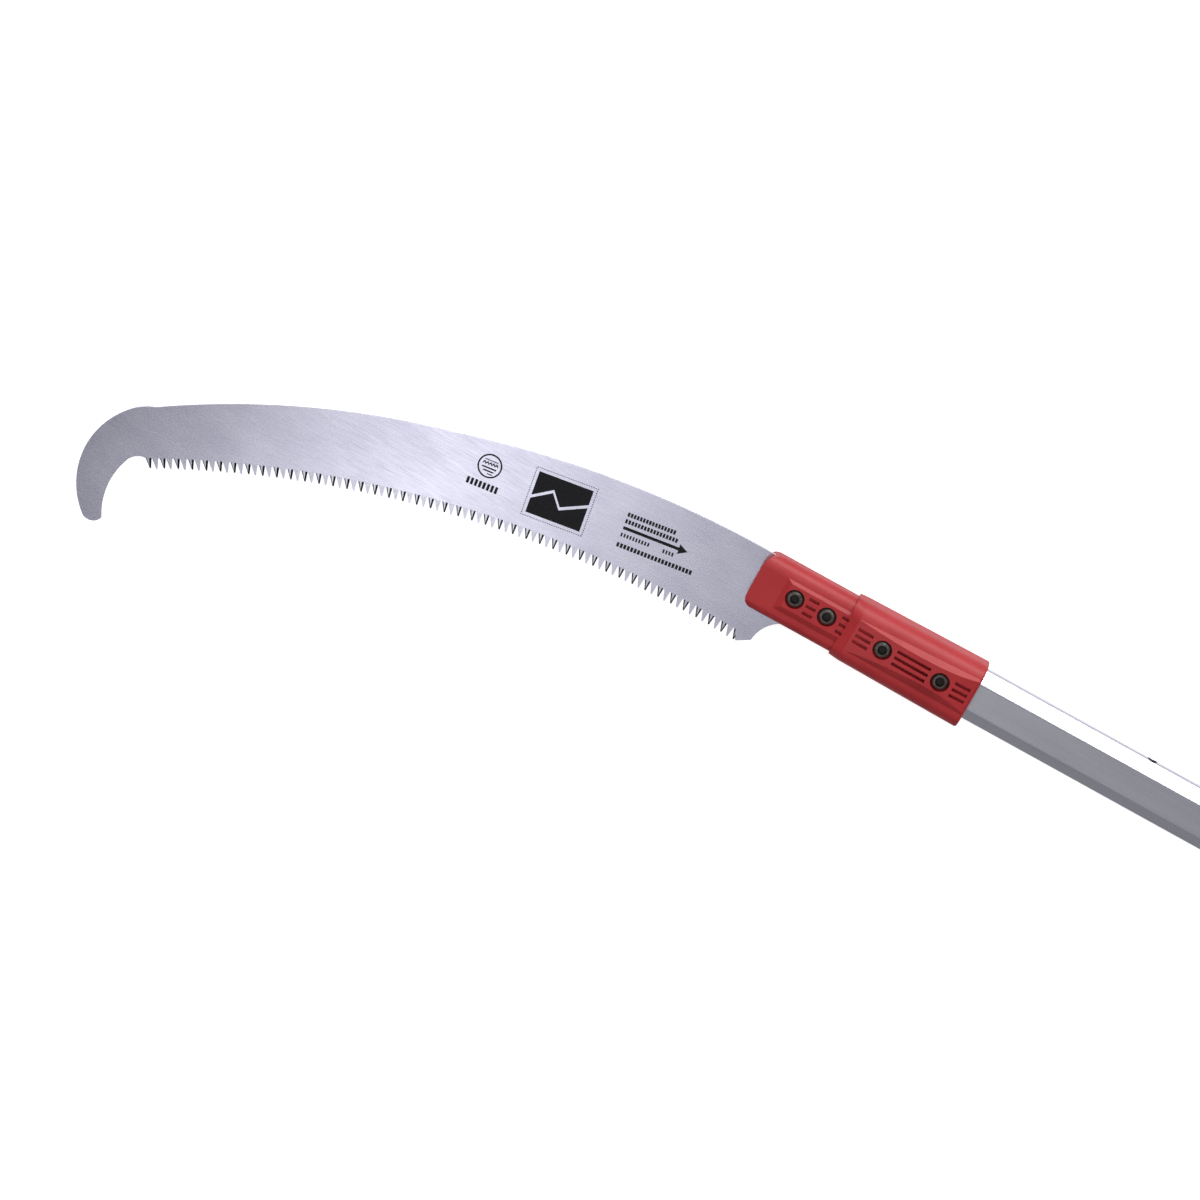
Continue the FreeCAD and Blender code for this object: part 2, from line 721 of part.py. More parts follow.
def nut_master(label, flats, height, bore):
    """A hex nut along z, its lower face at z = 0."""
    body = new_body(label)
    pad(body, add_sketch(body, "XY_Plane", hexagon(0, 0, flats)), height)
    pocket(body, add_sketch(body, "XY_Plane", circle(0, 0, bore)), "both")
    return body


def add_head_fasteners():
    groups = (("blade", blade_screws, front_land), ("pole", pole_screws, pole_screw_land))
    bore = size("screw_radius") + size("pin_gap")
    nut = nut_master("HeadNut", size("nut_flats"), "Sizes.nut_height", bore)
    end_inset = 0.5
    for name, places, land in groups:
        seat = land - size("screw_recess") - size("screw_head_height")
        nut_floor = -(land - size("nut_recess"))
        screw = screw_master(name + "Screw", seat - nut_floor - end_inset)
        add_group(name + "_screws", copies(screw, [vector(x, 0, seat) for x in places]))
        add_group(name + "_nuts", copies(nut, [vector(x, 0, nut_floor) for x in places]))


# ---- tubes ---------------------------------------------------------------------------


def add_tube(label, growth, start, length, first_hole=None, hole_count=None):
    """One tube of the pole, with a row of index holes in the face on the spine's side."""
    body = new_body(label)
    section = pole_section(growth) + pole_section(growth - size("tube_wall"))
    pad(body, add_sketch(body, "YZ_Plane", section, along=start), length)
    if first_hole is not None:
        # The XZ plane's normal points to -y, so this cuts the +y wall only.
        hole = circle(first_hole, 0, size("index_hole_radius"))
        first = pocket(body, add_sketch(body, "XZ_Plane", hole), "down")
        reach = f"Sizes.index_pitch * ({hole_count} - 1)"
        repeat_along(body, first, hole_count, reach)
    return body


def add_core():
    """Fills the upper tube's front end, so that the screws can't crush it."""
    body = new_body("tube_core")
    section = pole_section(-size("tube_wall") - size("seat_gap"))
    sketch = add_sketch(body, "YZ_Plane", section, along=tube_front + size("core_setback"))
    in_front = "Sizes.tube_setback - Sizes.core_setback"
    behind = "Sizes.pole_screw_inset + Sizes.core_past_screw"
    pad(body, sketch, f"Sizes.rear_section_length - {in_front} - {behind}")
    cross_holes(body, pole_screws, screw_hole)
    return finish(body)


def add_guide_bush(label, growth, tube_end):
    """Spigot in the tube's rear end and a flange that guides it in the next tube."""
    body = new_body(label)
    spigot = pole_section(growth - size("tube_wall") - size("seat_gap"))
    flange = pole_section(growth + size("tube_gap") - size("running_gap"))
    pad(body, add_sketch(body, "YZ_Plane", spigot, along=tube_end), "Sizes.bush_spigot", backwards=True)
    pad(body, add_sketch(body, "YZ_Plane", flange, along=tube_end), "Sizes.bush_flange")
    pocket(body, add_sketch(body, "YZ_Plane", circle(0, 0, size("bush_bore"))), "up")
    return finish(body)


# ---- collars -------------------------------------------------------------------------


class CollarPlan:
    """Where one collar's pieces lie, from the tube that it is fixed to."""

    def __init__(self, name, tube_growth, tube_start):
        self.name = name
        self.tube_growth = tube_growth
        self.slide_growth = tube_growth - growth_per_tube
        self.start = tube_start
        self.front = tube_start - size("clamp_length")
        self.pin_x = tube_start - size("clamp_length") / 2
        self.outer_growth = tube_growth + size("seat_gap") + size("collar_wall")
        self.half_width = size("pole_width") / 2 + self.outer_growth
        self.half_depth = size("pole_depth") / 2 + self.outer_growth
        self.bolt_y = -(self.half_width + size("ear_reach") / 2)
        self.ear_end = -(self.half_width + size("ear_reach"))
        self.arm_low = self.half_depth + size("lever_gap")
        self.arm_high = self.arm_low + size("lever_thickness")
        self.cam_z = self.arm_high - size("cam_radius")
        self.pivot_z = self.cam_z + size("cam_offset")
        self.ear_top = self.cam_z - size("cam_radius") - size("running_gap")
        self.ear_low = -self.half_depth + size("ear_inset")
        self.face_y = size("pole_width") / 2 + self.slide_growth
        self.chamber_floor = self.face_y + size("collar_slide_gap") + size("guide_height")
        self.boss_top = self.half_width + size("boss_height")
        self.flange_low = self.chamber_floor + size("running_gap") + size("index_travel")
        self.cap_low = self.boss_top - size("spring_cap_depth")
        self.cap_top = self.boss_top + size("spring_cap_rim")
        first_rivet = tube_start + size("rivet_inset")
        self.rivets = (first_rivet, first_rivet + size("rivet_spacing"))


def add_collar_blank(body, plan):
    """A sleeve and a clamp in one run, with two ears below and a boss above."""
    section = add_sketch(body, "YZ_Plane", pole_section(plan.outer_growth), along=plan.front)
    pad(body, section, "Sizes.clamp_length + Sizes.sleeve_length")
    end = plan.start + size("sleeve_length")

    def on_an_end(edge):
        box = edge.BoundBox
        at_an_end = abs(box.XMin - plan.front) < 0.01 or abs(box.XMin - end) < 0.01
        return box.XLength < 0.01 and at_an_end

    round_edges(body, "Sizes.collar_end_round", on_an_end)
    buried = 2.0
    root = -(plan.half_width - buried)
    low_x = plan.pin_x - size("ear_length") / 2
    high_x = plan.pin_x + size("ear_length") / 2
    corner_round = 4.0
    corners = [(low_x, root), (low_x, plan.ear_end), (high_x, plan.ear_end), (high_x, root)]
    ears = rounded_outline(corners, [0, corner_round, corner_round, 0])
    sketch = add_sketch(body, "XY_Plane", ears, along=plan.ear_low)
    pad(body, sketch, str(plan.ear_top - plan.ear_low))
    boss_root = 4.0
    boss = circle(plan.pin_x, 0, size("boss_radius"))
    sketch = add_sketch(body, "XZ_Plane", boss, along=-plan.half_width + boss_root)
    pad(body, sketch, f"Sizes.boss_height + {boss_root}", backwards=True)


SLIT_BRIDGE = 3.0  # left whole between the clamp's slit and the sleeve


def cut_clamp(body, plan):
    """Bores for the two tubes, the slit, the bolt's hole and its nut's seat."""
    sleeve = pole_section(plan.tube_growth + size("seat_gap"))
    pocket(body, add_sketch(body, "YZ_Plane", sleeve, along=plan.start), "up")
    clamp = pole_section(plan.slide_growth + size("collar_slide_gap"))
    pocket(body, add_sketch(body, "YZ_Plane", clamp, along=plan.start), "down")
    half_slit = size("clamp_slit") / 2
    slit_end = plan.start - SLIT_BRIDGE
    slit = rectangle(plan.ear_end - 1, -half_slit, 0, half_slit)
    pocket(body, add_sketch(body, "YZ_Plane", slit, along=slit_end), "down")
    bolt_hole = circle(plan.pin_x, plan.bolt_y, size("bolt_radius") + size("bolt_clearance"))
    pocket(body, add_sketch(body, "XY_Plane", bolt_hole), "both")
    nut_seat = hexagon(plan.pin_x, plan.bolt_y, size("bolt_nut_flats") + 2 * size("seat_gap"))
    seat_floor = plan.ear_low + size("bolt_nut_height")
    pocket(body, add_sketch(body, "XY_Plane", nut_seat, along=seat_floor), "down", "Sizes.pole_depth")


def add_collar(plan):
    """Moulded clamp collar: a sleeve on its own tube and a split clamp in front of it."""
    body = new_body(plan.name + "_collar")
    add_collar_blank(body, plan)
    cut_clamp(body, plan)
    guide = circle(plan.pin_x, 0, index_pin + size("pin_gap"))
    pocket(body, add_sketch(body, "XZ_Plane", guide), "down")
    chamber = circle(plan.pin_x, 0, size("chamber_radius"))
    pocket(body, add_sketch(body, "XZ_Plane", chamber, along=-plan.chamber_floor), "down")
    cross_holes(body, plan.rivets, rivet_hole, "up")
    return finish(body)


def add_rivets(plan):
    """Two rivets through the collar's sleeve and the tube's wall, flush inside."""
    master = new_body(plan.name + "Rivet")
    shank = size("rivet_radius")
    inner = size("pole_depth") / 2 + plan.tube_growth - size("tube_wall")
    seat = plan.half_depth
    head_radius, head_height, flat = shank + 1.6, 1.3, 1.2
    dome = vector(head_radius - 0.9, seat + 0.9)
    top = seat + head_height
    outline = [
        line(vector(0, inner), vector(shank, inner)),
        line(vector(shank, inner), vector(shank, seat)),
        line(vector(shank, seat), vector(head_radius, seat)),
        arc(vector(head_radius, seat), dome, vector(flat, top)),
        line(vector(flat, top), vector(0, top)),
        line(vector(0, top), vector(0, inner)),
    ]
    revolve(master, add_sketch(master, "XZ_Plane", outline), "V_Axis")
    add_group(plan.name + "_collar_rivets", copies(master, [vector(x, 0, 0) for x in plan.rivets]))


def add_lever(plan):
    """Cam lever: two cam cheeks on the cross pin and an arm that lies over the collar."""
    body = new_body(plan.name + "_lever")
    cam = circle(plan.bolt_y, plan.cam_z, size("cam_radius"))
    pad(body, add_sketch(body, "YZ_Plane", cam, along=plan.pin_x), "Sizes.lever_width", both_ways=True)
    tip = size("lever_overhang")
    lip = size("lever_lip")
    lip_run = 8.0
    arm = polygon([
        (plan.bolt_y, plan.arm_low),
        (tip - lip_run, plan.arm_low),
        (tip, plan.arm_low + lip),
        (tip, plan.arm_high + lip / 2),
        (tip - lip_run - 1, plan.arm_high),
        (plan.bolt_y, plan.arm_high),
    ])
    pad(body, add_sketch(body, "YZ_Plane", arm, along=plan.pin_x), "Sizes.lever_width", both_ways=True)

    def at_tip_corner(edge):
        box = edge.BoundBox
        return box.YMin > tip - 0.01 and box.XLength < 0.01 and box.ZLength > 1.0

    round_edges(body, "Sizes.lever_tip_round", at_tip_corner)
    half_slot = size("eye_length") / 2 + size("running_gap")
    slot_start = plan.bolt_y - size("cam_radius") - 1
    slot_end = plan.bolt_y + size("eye_radius") + size("eye_clearance")
    slot = rectangle(plan.pin_x - half_slot, slot_start, plan.pin_x + half_slot, slot_end)
    pocket(body, add_sketch(body, "XY_Plane", slot), "both")
    bore = circle(plan.bolt_y, plan.pivot_z, size("lever_pin_radius"))
    pocket(body, add_sketch(body, "YZ_Plane", bore), "both")
    return finish(body)


def add_primitive(kind, name, place, turn, **bindings):
    """A Part primitive whose sizes are bound to the sheet."""
    item = doc.addObject("Part::" + kind, name)
    for prop, expression in bindings.items():
        item.setExpression(prop, expression)
    item.Placement = FreeCAD.Placement(place, turn)
    return item


UPRIGHT = FreeCAD.Rotation()
ALONG_POLE = FreeCAD.Rotation(FreeCAD.Vector(0, 1, 0), 90)


def add_lever_pin(plan):
    place = vector(plan.pin_x - size("lever_width") / 2, plan.bolt_y, plan.pivot_z)
    pin = add_primitive("Cylinder", plan.name + "_lever_pin", place, ALONG_POLE,
                        Radius="Sizes.lever_pin_radius", Height="Sizes.lever_width")
    return finish(pin)


def add_clamp_bolt(plan):
    """Bolt through both ears, with an eye that the lever's pin turns in."""
    name = plan.name + "Bolt"
    end_z = plan.ear_low + size("bolt_end_inset")
    shank_place = vector(plan.pin_x, plan.bolt_y, end_z)
    shank = add_primitive("Cylinder", name + "Shank", shank_place, UPRIGHT,
                          Radius="Sizes.bolt_radius", Height=str(plan.pivot_z - end_z))
    half_eye = size("eye_length") / 2
    eye_place = vector(plan.pin_x - half_eye, plan.bolt_y, plan.pivot_z)
    eye = add_primitive("Cylinder", name + "Eye", eye_place, ALONG_POLE,
                        Radius="Sizes.eye_radius", Height="Sizes.eye_length")
    bore = add_primitive("Cylinder", name + "Bore", eye_place - vector(1, 0), ALONG_POLE,
                         Radius="Sizes.lever_pin_radius + Sizes.pin_gap", Height="Sizes.eye_length + 2")
    whole = doc.addObject("Part::Fuse", name + "Whole")
    whole.Base = shank
    whole.Tool = eye
    bolt = doc.addObject("Part::Cut", plan.name + "_clamp_bolt")
    bolt.Base = whole
    bolt.Tool = bore
    return finish(bolt)


def add_clamp_nut(plan):
    bore = size("bolt_radius") + size("pin_gap")
    nut = nut_master(plan.name + "ClampNut", size("bolt_nut_flats"), "Sizes.bolt_nut_height", bore)
    add_group(plan.name + "_clamp_nut", copies(nut, [vector(plan.pin_x, plan.bolt_y, plan.ear_low)]))


def add_turned_piece(label, plan, outline):
    """A piece of revolution about the index pin's line; the outline is (radius, y)."""
    body = new_body(label)
    sketch = add_sketch(body, "XY_Plane", polygon(outline), origin=(plan.pin_x, 0))
    revolve(body, sketch, "V_Axis")
    return finish(body)


STEM = 2.0  # radius of the index pin above its flange
SPRING_TURNS = 4.0


def add_index_pin(plan):
    """Stepped pin, drawn raised clear of the tube, with its knob, spring and cap."""
    tip_y = plan.face_y + size("pin_clearance")
    tip_chamfer = 0.5
    flange_top = plan.flange_low + 1.5
    flange = size("chamber_radius") - size("running_gap")
    knob_low = plan.cap_top + size("running_gap") + size("index_travel")
    pin_in_knob = 7.0
    pin_top = knob_low + pin_in_knob
    add_turned_piece(plan.name + "_index_pin", plan, [
        (0, tip_y),
        (index_pin - tip_chamfer, tip_y),
        (index_pin, tip_y + tip_chamfer),
        (index_pin, plan.flange_low),
        (flange, plan.flange_low),
        (flange, flange_top),
        (STEM, flange_top),
        (STEM, pin_top),
        (0, pin_top),
    ])
    neck, knob, knob_chamfer = 4.2, 6.5, 1.0
    neck_length, knob_flare, knob_length = 3.0, 1.5, 9.5
    shoulder = knob_low + neck_length
    knob_top = knob_low + knob_length
    add_turned_piece(plan.name + "_pin_knob", plan, [
        (STEM, knob_low),
        (neck, knob_low),
        (neck, shoulder),
        (knob, shoulder + knob_flare),
        (knob, knob_top - knob_chamfer),
        (knob - knob_chamfer, knob_top),
        (0, knob_top),
        (0, pin_top),
        (STEM, pin_top),
    ])
    bore = STEM + size("pin_gap")
    outer = size("chamber_radius")
    rim = outer + 1.4
    add_turned_piece(plan.name + "_spring_cap", plan, [
        (bore, plan.cap_low),
        (outer, plan.cap_low),
        (outer, plan.boss_top),
        (rim, plan.boss_top),
        (rim, plan.cap_top),
        (bore, plan.cap_top),
    ])
    add_spring(plan, flange_top, plan.cap_low)


def add_spring(plan, low, high):
    """Compression spring between the pin's flange and the cap."""
    wire = size("spring_wire")
    coil_radius = (size("chamber_radius") + STEM) / 2
    spare = 0.15
    length = high - low - wire - 2 * spare
    name = plan.name + "_index_spring"
    start = vector(plan.pin_x, low + wire / 2 + spare)
    along_y = FreeCAD.Rotation(FreeCAD.Vector(1, 0, 0), -90)
    helix = doc.addObject("Part::Helix", name + "_path")
    helix.Pitch = length / SPRING_TURNS
    helix.Height = length
    helix.Radius = coil_radius
    helix.SegmentLength = 0.5
    helix.Placement = FreeCAD.Placement(start, along_y)
    section = doc.addObject("Part::Circle", name + "_section")
    section.setExpression("Radius", "Sizes.spring_wire / 2")
    section.Placement = FreeCAD.Placement(start + vector(coil_radius, 0), FreeCAD.Rotation())
    doc.recompute()
    spring = doc.addObject("Part::Sweep", name)
    spring.Sections = [section]
    spring.Spine = (helix, [f"Edge{i}" for i in range(1, len(helix.Shape.Edges) + 1)])
    spring.Solid = True
    spring.Frenet = True
    return finish(spring)


# ---- lower end -----------------------------------------------------------------------


def add_grip(tube_growth):
    body = new_body("grip_sleeve")
    seat = size("seat_gap")
    section = pole_section(tube_growth + seat + size("grip_wall")) + pole_section(tube_growth + seat)
    start = lower_rear - size("cap_cup") - size("grip_length") - seat
    pad(body, add_sketch(body, "YZ_Plane", section, along=start), "Sizes.grip_length")
    return finish(body)


def add_butt_cap(tube_growth):
    """Cup over the tube's end, a plug inside it and a solid end with a hanging hole."""
    body = new_body("butt_cap")
    outer = pole_section(tube_growth + size("cap_wall"))
    cup_start = lower_rear - size("cap_cup")
    pad(body, add_sketch(body, "YZ_Plane", outer, along=cup_start), "Sizes.cap_cup + Sizes.cap_end")
    end = lower_rear + size("cap_end")
    round_edges(body, "Sizes.cap_round", lambda edge: edge.BoundBox.XMin > end - 0.01)
    sleeve = pole_section(tube_growth + size("seat_gap"))
    pocket(body, add_sketch(body, "YZ_Plane", sleeve, along=lower_rear), "down")
    plug = pole_section(tube_growth - size("tube_wall") - size("seat_gap"))
    pad(body, add_sketch(body, "YZ_Plane", plug, along=lower_rear), "Sizes.cap_plug", backwards=True)
    cross_holes(body, [lower_rear + size("cap_end") / 2], size("hang_hole_radius"))
    return finish(body)


# ---- the whole saw -------------------------------------------------------------------


def add_pole():
    upper = add_tube("upper_tube", 0.0, tube_front, "Sizes.upper_tube_length",
                     size("first_index_hole"), "Sizes.upper_hole_count")
    cross_holes(upper, pole_screws, screw_hole)
    finish(upper)
    middle = add_tube("middle_tube", growth_per_tube, middle_front, "Sizes.middle_tube_length",
                      lower_pin_x, "Sizes.middle_hole_count")
    lower = add_tube("lower_tube", 2 * growth_per_tube, lower_front, "Sizes.lower_tube_length")
    add_guide_bush("upper_guide_bush", 0.0, tube_front + size("upper_tube_length"))
    add_guide_bush("middle_guide_bush", growth_per_tube, middle_front + size("middle_tube_length"))
    plans = (
        CollarPlan("upper", growth_per_tube, middle_front),
        CollarPlan("lower", 2 * growth_per_tube, lower_front),
    )
    for plan, tube in zip(plans, (middle, lower)):
        cross_holes(tube, plan.rivets, rivet_hole, "up")
        finish(tube)
        add_collar(plan)
        add_rivets(plan)
        add_lever(plan)
        add_lever_pin(plan)
        add_clamp_bolt(plan)
        add_clamp_nut(plan)
        add_index_pin(plan)
    return plans


def check_objects():
    """Stops on any object that failed, and on any sub-part that isn't sound."""
    for item in doc.Objects:
        if "Invalid" in item.State or "Error" in item.State:
            raise ValueError("failed: " + item.Name)
    for node in nodes:
        if node.Shape.isNull() or not node.Shape.isValid() or not node.Shape.Solids:
            raise ValueError("not a sound solid: " + node.Label)


def set_origin():
    """Moves every sub-part, so that the origin is under the middle of the saw."""
    whole = FreeCAD.BoundBox()
    for node in nodes:
        whole.add(node.Shape.optimalBoundingBox())
    shift = vector(-whole.Center.x, -whole.Center.y, -whole.ZMin)
    for node in nodes:
        node.Placement = FreeCAD.Placement(shift + node.Placement.Base, node.Placement.Rotation)
    doc.recompute()
    return shift, whole


add_blade()
add_head_shell("head_shell_near", 1)
add_head_shell("head_shell_far", -1)
add_head_fasteners()
add_core()
collar_plans = add_pole()
add_grip(2 * growth_per_tube)
add_butt_cap(2 * growth_per_tube)
doc.recompute()
check_objects()
shift, whole = set_origin()
check_objects()

os.makedirs("parts", exist_ok=True)
for node in nodes:
    node.Shape.exportStep(f"parts/{node.Label}.step")

print("whole", round(whole.XLength, 2), round(whole.YLength, 2), round(whole.ZLength, 2))
print("shift", round(shift.x, 3), round(shift.y, 3), round(shift.z, 3))
for plan in collar_plans:
    print(plan.name, "lever pivot", plan.pin_x + shift.x, plan.bolt_y + shift.y, plan.pivot_z + shift.z)
print("hanging hole", lower_rear + size("cap_end") / 2 + shift.x, shift.y, shift.z)
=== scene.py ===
import math

import bmesh
import bpy
from mathutils import Matrix, Vector


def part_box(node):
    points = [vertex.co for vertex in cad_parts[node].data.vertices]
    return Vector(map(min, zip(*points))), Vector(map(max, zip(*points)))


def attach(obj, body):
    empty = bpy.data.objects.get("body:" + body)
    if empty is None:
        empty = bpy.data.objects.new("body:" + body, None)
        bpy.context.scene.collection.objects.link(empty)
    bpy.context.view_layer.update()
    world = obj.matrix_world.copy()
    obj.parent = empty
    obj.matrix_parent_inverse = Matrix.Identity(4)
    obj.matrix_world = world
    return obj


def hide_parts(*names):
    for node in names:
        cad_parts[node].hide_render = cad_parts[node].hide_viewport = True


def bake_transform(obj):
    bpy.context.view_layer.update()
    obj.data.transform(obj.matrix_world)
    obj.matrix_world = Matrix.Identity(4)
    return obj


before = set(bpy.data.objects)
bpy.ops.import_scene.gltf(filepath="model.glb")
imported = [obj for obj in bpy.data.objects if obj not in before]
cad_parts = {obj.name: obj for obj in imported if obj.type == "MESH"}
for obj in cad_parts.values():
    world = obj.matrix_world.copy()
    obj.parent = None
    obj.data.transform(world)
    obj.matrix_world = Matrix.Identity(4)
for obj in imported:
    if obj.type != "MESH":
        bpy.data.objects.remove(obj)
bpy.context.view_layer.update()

MM = 0.001

# ---- places, worked out from the frame ------------------------------------------------

tube_low, tube_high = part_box("upper_tube")
blade_low, blade_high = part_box("blade")
pole_y = (tube_low.y + tube_high.y) / 2
pole_z = (tube_low.z + tube_high.z) / 2
head_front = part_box("head_shell_near")[0].x
blade_half = (blade_high.z - blade_low.z) / 2

SCREW_HEAD_RADIUS = 5.25 * MM
# Painted socket shade: dark out to this radius from each screw's axis, then fading to full colour across the
# rim.
SOCKET_SHADE_RADIUS = 2.6 * MM  # just outside the flats of the hex socket
SOCKET_SHADE_FADE = 0.5 * MM
screw_places = []
for node in ("blade_screws", "pole_screws"):
    low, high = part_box(node)
    screw_places += [low.x + SCREW_HEAD_RADIUS, high.x - SCREW_HEAD_RADIUS]


def at_pole(reach, across):
    """A point in front of the head by reach mm, across mm to the spine's side of the pole."""
    return Vector((head_front - reach * MM, pole_y + across * MM, pole_z))


# ---- node helpers ---------------------------------------------------------------------


class Nodes:
    """Short ways to add and link the nodes of a tree."""

    def __init__(self, tree):
        self.tree = tree

    def add(self, kind, **settings):
        node = self.tree.nodes.new(kind)
        for key, value in settings.items():
            setattr(node, key, value)
        return node

    def link(self, output, target):
        self.tree.links.new(output, target)

    def ramp(self, source, stops):
        """A colour ramp; stops are (position, colour)."""
        node = self.add("ShaderNodeValToRGB")
        elements = node.color_ramp.elements
        while len(elements) < len(stops):
            elements.new(0.5)
        for element, (position, colour) in zip(elements, stops):
            element.position = position
            element.color = (*colour, 1)
        self.link(source, node.inputs["Fac"])
        return node.outputs["Color"]


class Finish(Nodes):
    """A material under construction, with its Principled BSDF as surface."""

    def __init__(self, name, metallic, roughness):
        self.material = bpy.data.materials.new(name)
        self.material.use_nodes = True
        super().__init__(self.material.node_tree)
        self.surface = self.tree.nodes["Principled BSDF"]
        self.surface.inputs["Metallic"].default_value = metallic
        self.surface.inputs["Roughness"].default_value = roughness
        self.coordinates = self.add("ShaderNodeTexCoord")

    def noise(self, scale, stretch=(1, 1, 1), detail=3.0, turn=0.0):
        """Noise on Object coordinates, in metres, stretched along the axes."""
        mapping = self.add("ShaderNodeMapping")
        mapping.inputs["Scale"].default_value = stretch
        mapping.inputs["Rotation"].default_value = (0, 0, turn)
        texture = self.add("ShaderNodeTexNoise")
        texture.inputs["Scale"].default_value = scale
        texture.inputs["Detail"].default_value = detail
        self.link(self.coordinates.outputs["Object"], mapping.inputs["Vector"])
        self.link(mapping.outputs["Vector"], texture.inputs["Vector"])
        return texture.outputs["Fac"]

    def spread(self, source, low, high):
        """Maps a noise's usual 0.3 to 0.7 onto low to high."""
        node = self.add("ShaderNodeMapRange")
        node.inputs["From Min"].default_value = 0.3
        node.inputs["From Max"].default_value = 0.7
        node.inputs["To Min"].default_value = low
        node.inputs["To Max"].default_value = high
        self.link(source, node.inputs["Value"])
        return node.outputs["Result"]

    def colour(self, source):
        self.link(source, self.surface.inputs["Base Color"])

    def roughness(self, source):
        self.link(source, self.surface.inputs["Roughness"])

    def bump(self, height, strength, distance):
        node = self.add("ShaderNodeBump")
        node.inputs["Strength"].default_value = strength
        node.inputs["Distance"].default_value = distance
        self.link(height, node.inputs["Height"])
        self.link(node.outputs["Normal"], self.surface.inputs["Normal"])


def mixed(low, high, share):
    return tuple(a + (b - a) * share for a, b in zip(low, high))


# ---- finishes -------------------------------------------------------------------------

STEEL_DARK, STEEL_LIGHT = (0.575, 0.57, 0.685), (0.655, 0.65, 0.765)


def brushed_blade_steel():
    """Polished carbon steel with a fine lengthwise grain and faint clouds."""
    finish = Finish("brushed_blade_steel", 1.0, 0.3)
    grain = finish.noise(1.0, (60, 2600, 2600), 4.0, turn=-0.12)
    clouds = finish.noise(30.0, (1, 1.6, 1), 4.0)
    finish.colour(finish.ramp(clouds, [(0.32, STEEL_DARK), (0.68, STEEL_LIGHT)]))
    finish.roughness(finish.spread(grain, 0.21, 0.30))
    finish.bump(grain, 0.14, 0.00004)
    return finish.material


def ground_tooth_steel():
    """The blade's steel on the flat faces; the ground bevels, picked out by their normals, carry a painted
    shade that is nearly black.
    """
    finish = Finish("ground_tooth_steel", 1.0, 0.3)
    split = finish.add("ShaderNodeSeparateXYZ")
    finish.link(finish.coordinates.outputs["Normal"], split.inputs["Vector"])
    flatness = finish.add("ShaderNodeMath", operation="ABSOLUTE")
    finish.link(split.outputs["Z"], flatness.inputs[0])
    # Painted shade: faces that turn away from the blade's plane get a near-black colour in place of the
    # steel's own.
    shaded_bevel_black = (0.035, 0.035, 0.042)
    finish.colour(finish.ramp(flatness.outputs[0], [(0.86, shaded_bevel_black), (0.95, STEEL_LIGHT)]))
    lines = finish.noise(1.0, (3200, 500, 500), 3.0)
    finish.roughness(finish.spread(lines, 0.24, 0.38))
    finish.bump(lines, 0.15, 0.00003)
    return finish.material


def anodised_aluminium():
    """Satin anodised extrusion with faint die lines along the pole."""
    finish = Finish("anodised_aluminium", 1.0, 0.3)
    lines = finish.noise(1.0, (5, 1500, 1500), 3.0)
    clouds = finish.noise(16.0, (1, 4, 4), 2.0)
    finish.colour(finish.ramp(clouds, [(0.3, (0.78, 0.785, 0.86)), (0.7, (0.85, 0.855, 0.93))]))
    finish.roughness(finish.spread(lines, 0.25, 0.36))
    finish.bump(lines, 0.1, 0.00003)
    return finish.material


def moulded_plastic(name, dark, light, rough):
    """Moulded plastic with a fine spark-eroded texture, mottled slightly in colour."""
    finish = Finish(name, 0.0, rough)
    tone = finish.noise(45.0, (1, 1, 1), 3.0)
    finish.colour(finish.ramp(tone, [(0.3, dark), (0.7, light)]))
    grain = finish.noise(2400.0, (1, 1, 1), 2.0)
    finish.roughness(finish.spread(grain, rough - 0.06, rough + 0.08))
    finish.bump(grain, 0.22, 0.00006)
    finish.surface.inputs["Specular IOR Level"].default_value = 0.45
    return finish.material


def nearest_screw_axis(finish):
    """Distance to the axis of the nearest of the head's four screws."""
    nearest = None
    for x in screw_places:
        flat = finish.add("ShaderNodeVectorMath", operation="MULTIPLY")
        flat.inputs[1].default_value = (1, 1, 0)
        finish.link(finish.coordinates.outputs["Object"], flat.inputs[0])
        away = finish.add("ShaderNodeVectorMath", operation="DISTANCE")
        away.inputs[1].default_value = (x, pole_y, 0)
        finish.link(flat.outputs["Vector"], away.inputs[0])
        distance = away.outputs["Value"]
        if nearest is not None:
            least = finish.add("ShaderNodeMath", operation="MINIMUM")
            finish.link(nearest, least.inputs[0])
            finish.link(distance, least.inputs[1])
            distance = least.outputs[0]
        nearest = distance
    return nearest


def blackened_steel():
    """Black oxide on the screws, rubbed brighter on high spots, with painted shade darkening the sockets."""
    finish = Finish("blackened_steel", 0.85, 0.34)
    rub = finish.noise(600.0, (1, 1, 1), 3.0)
    oxide = finish.ramp(rub, [(0.35, (0.12, 0.107, 0.095)), (0.75, (0.24, 0.215, 0.195))])
    # Painted shade: within the socket radius of any screw's axis the colour drops to a fifth, standing in
    # for the shade down in the socket.
    rim = finish.add("ShaderNodeMapRange")
    rim.inputs["From Min"].default_value = SOCKET_SHADE_RADIUS
    rim.inputs["From Max"].default_value = SOCKET_SHADE_RADIUS + SOCKET_SHADE_FADE
    rim.inputs["To Min"].default_value = 0.2
    rim.inputs["To Max"].default_value = 1.0
    finish.link(nearest_screw_axis(finish), rim.inputs["Value"])
    shade = finish.add("ShaderNodeVectorMath", operation="SCALE")
    finish.link(oxide, shade.inputs[0])
    finish.link(rim.outputs["Result"], shade.inputs["Scale"])
    finish.colour(shade.outputs["Vector"])
    finish.roughness(finish.spread(rub, 0.28, 0.45))
    finish.bump(rub, 0.1, 0.00004)
    return finish.material


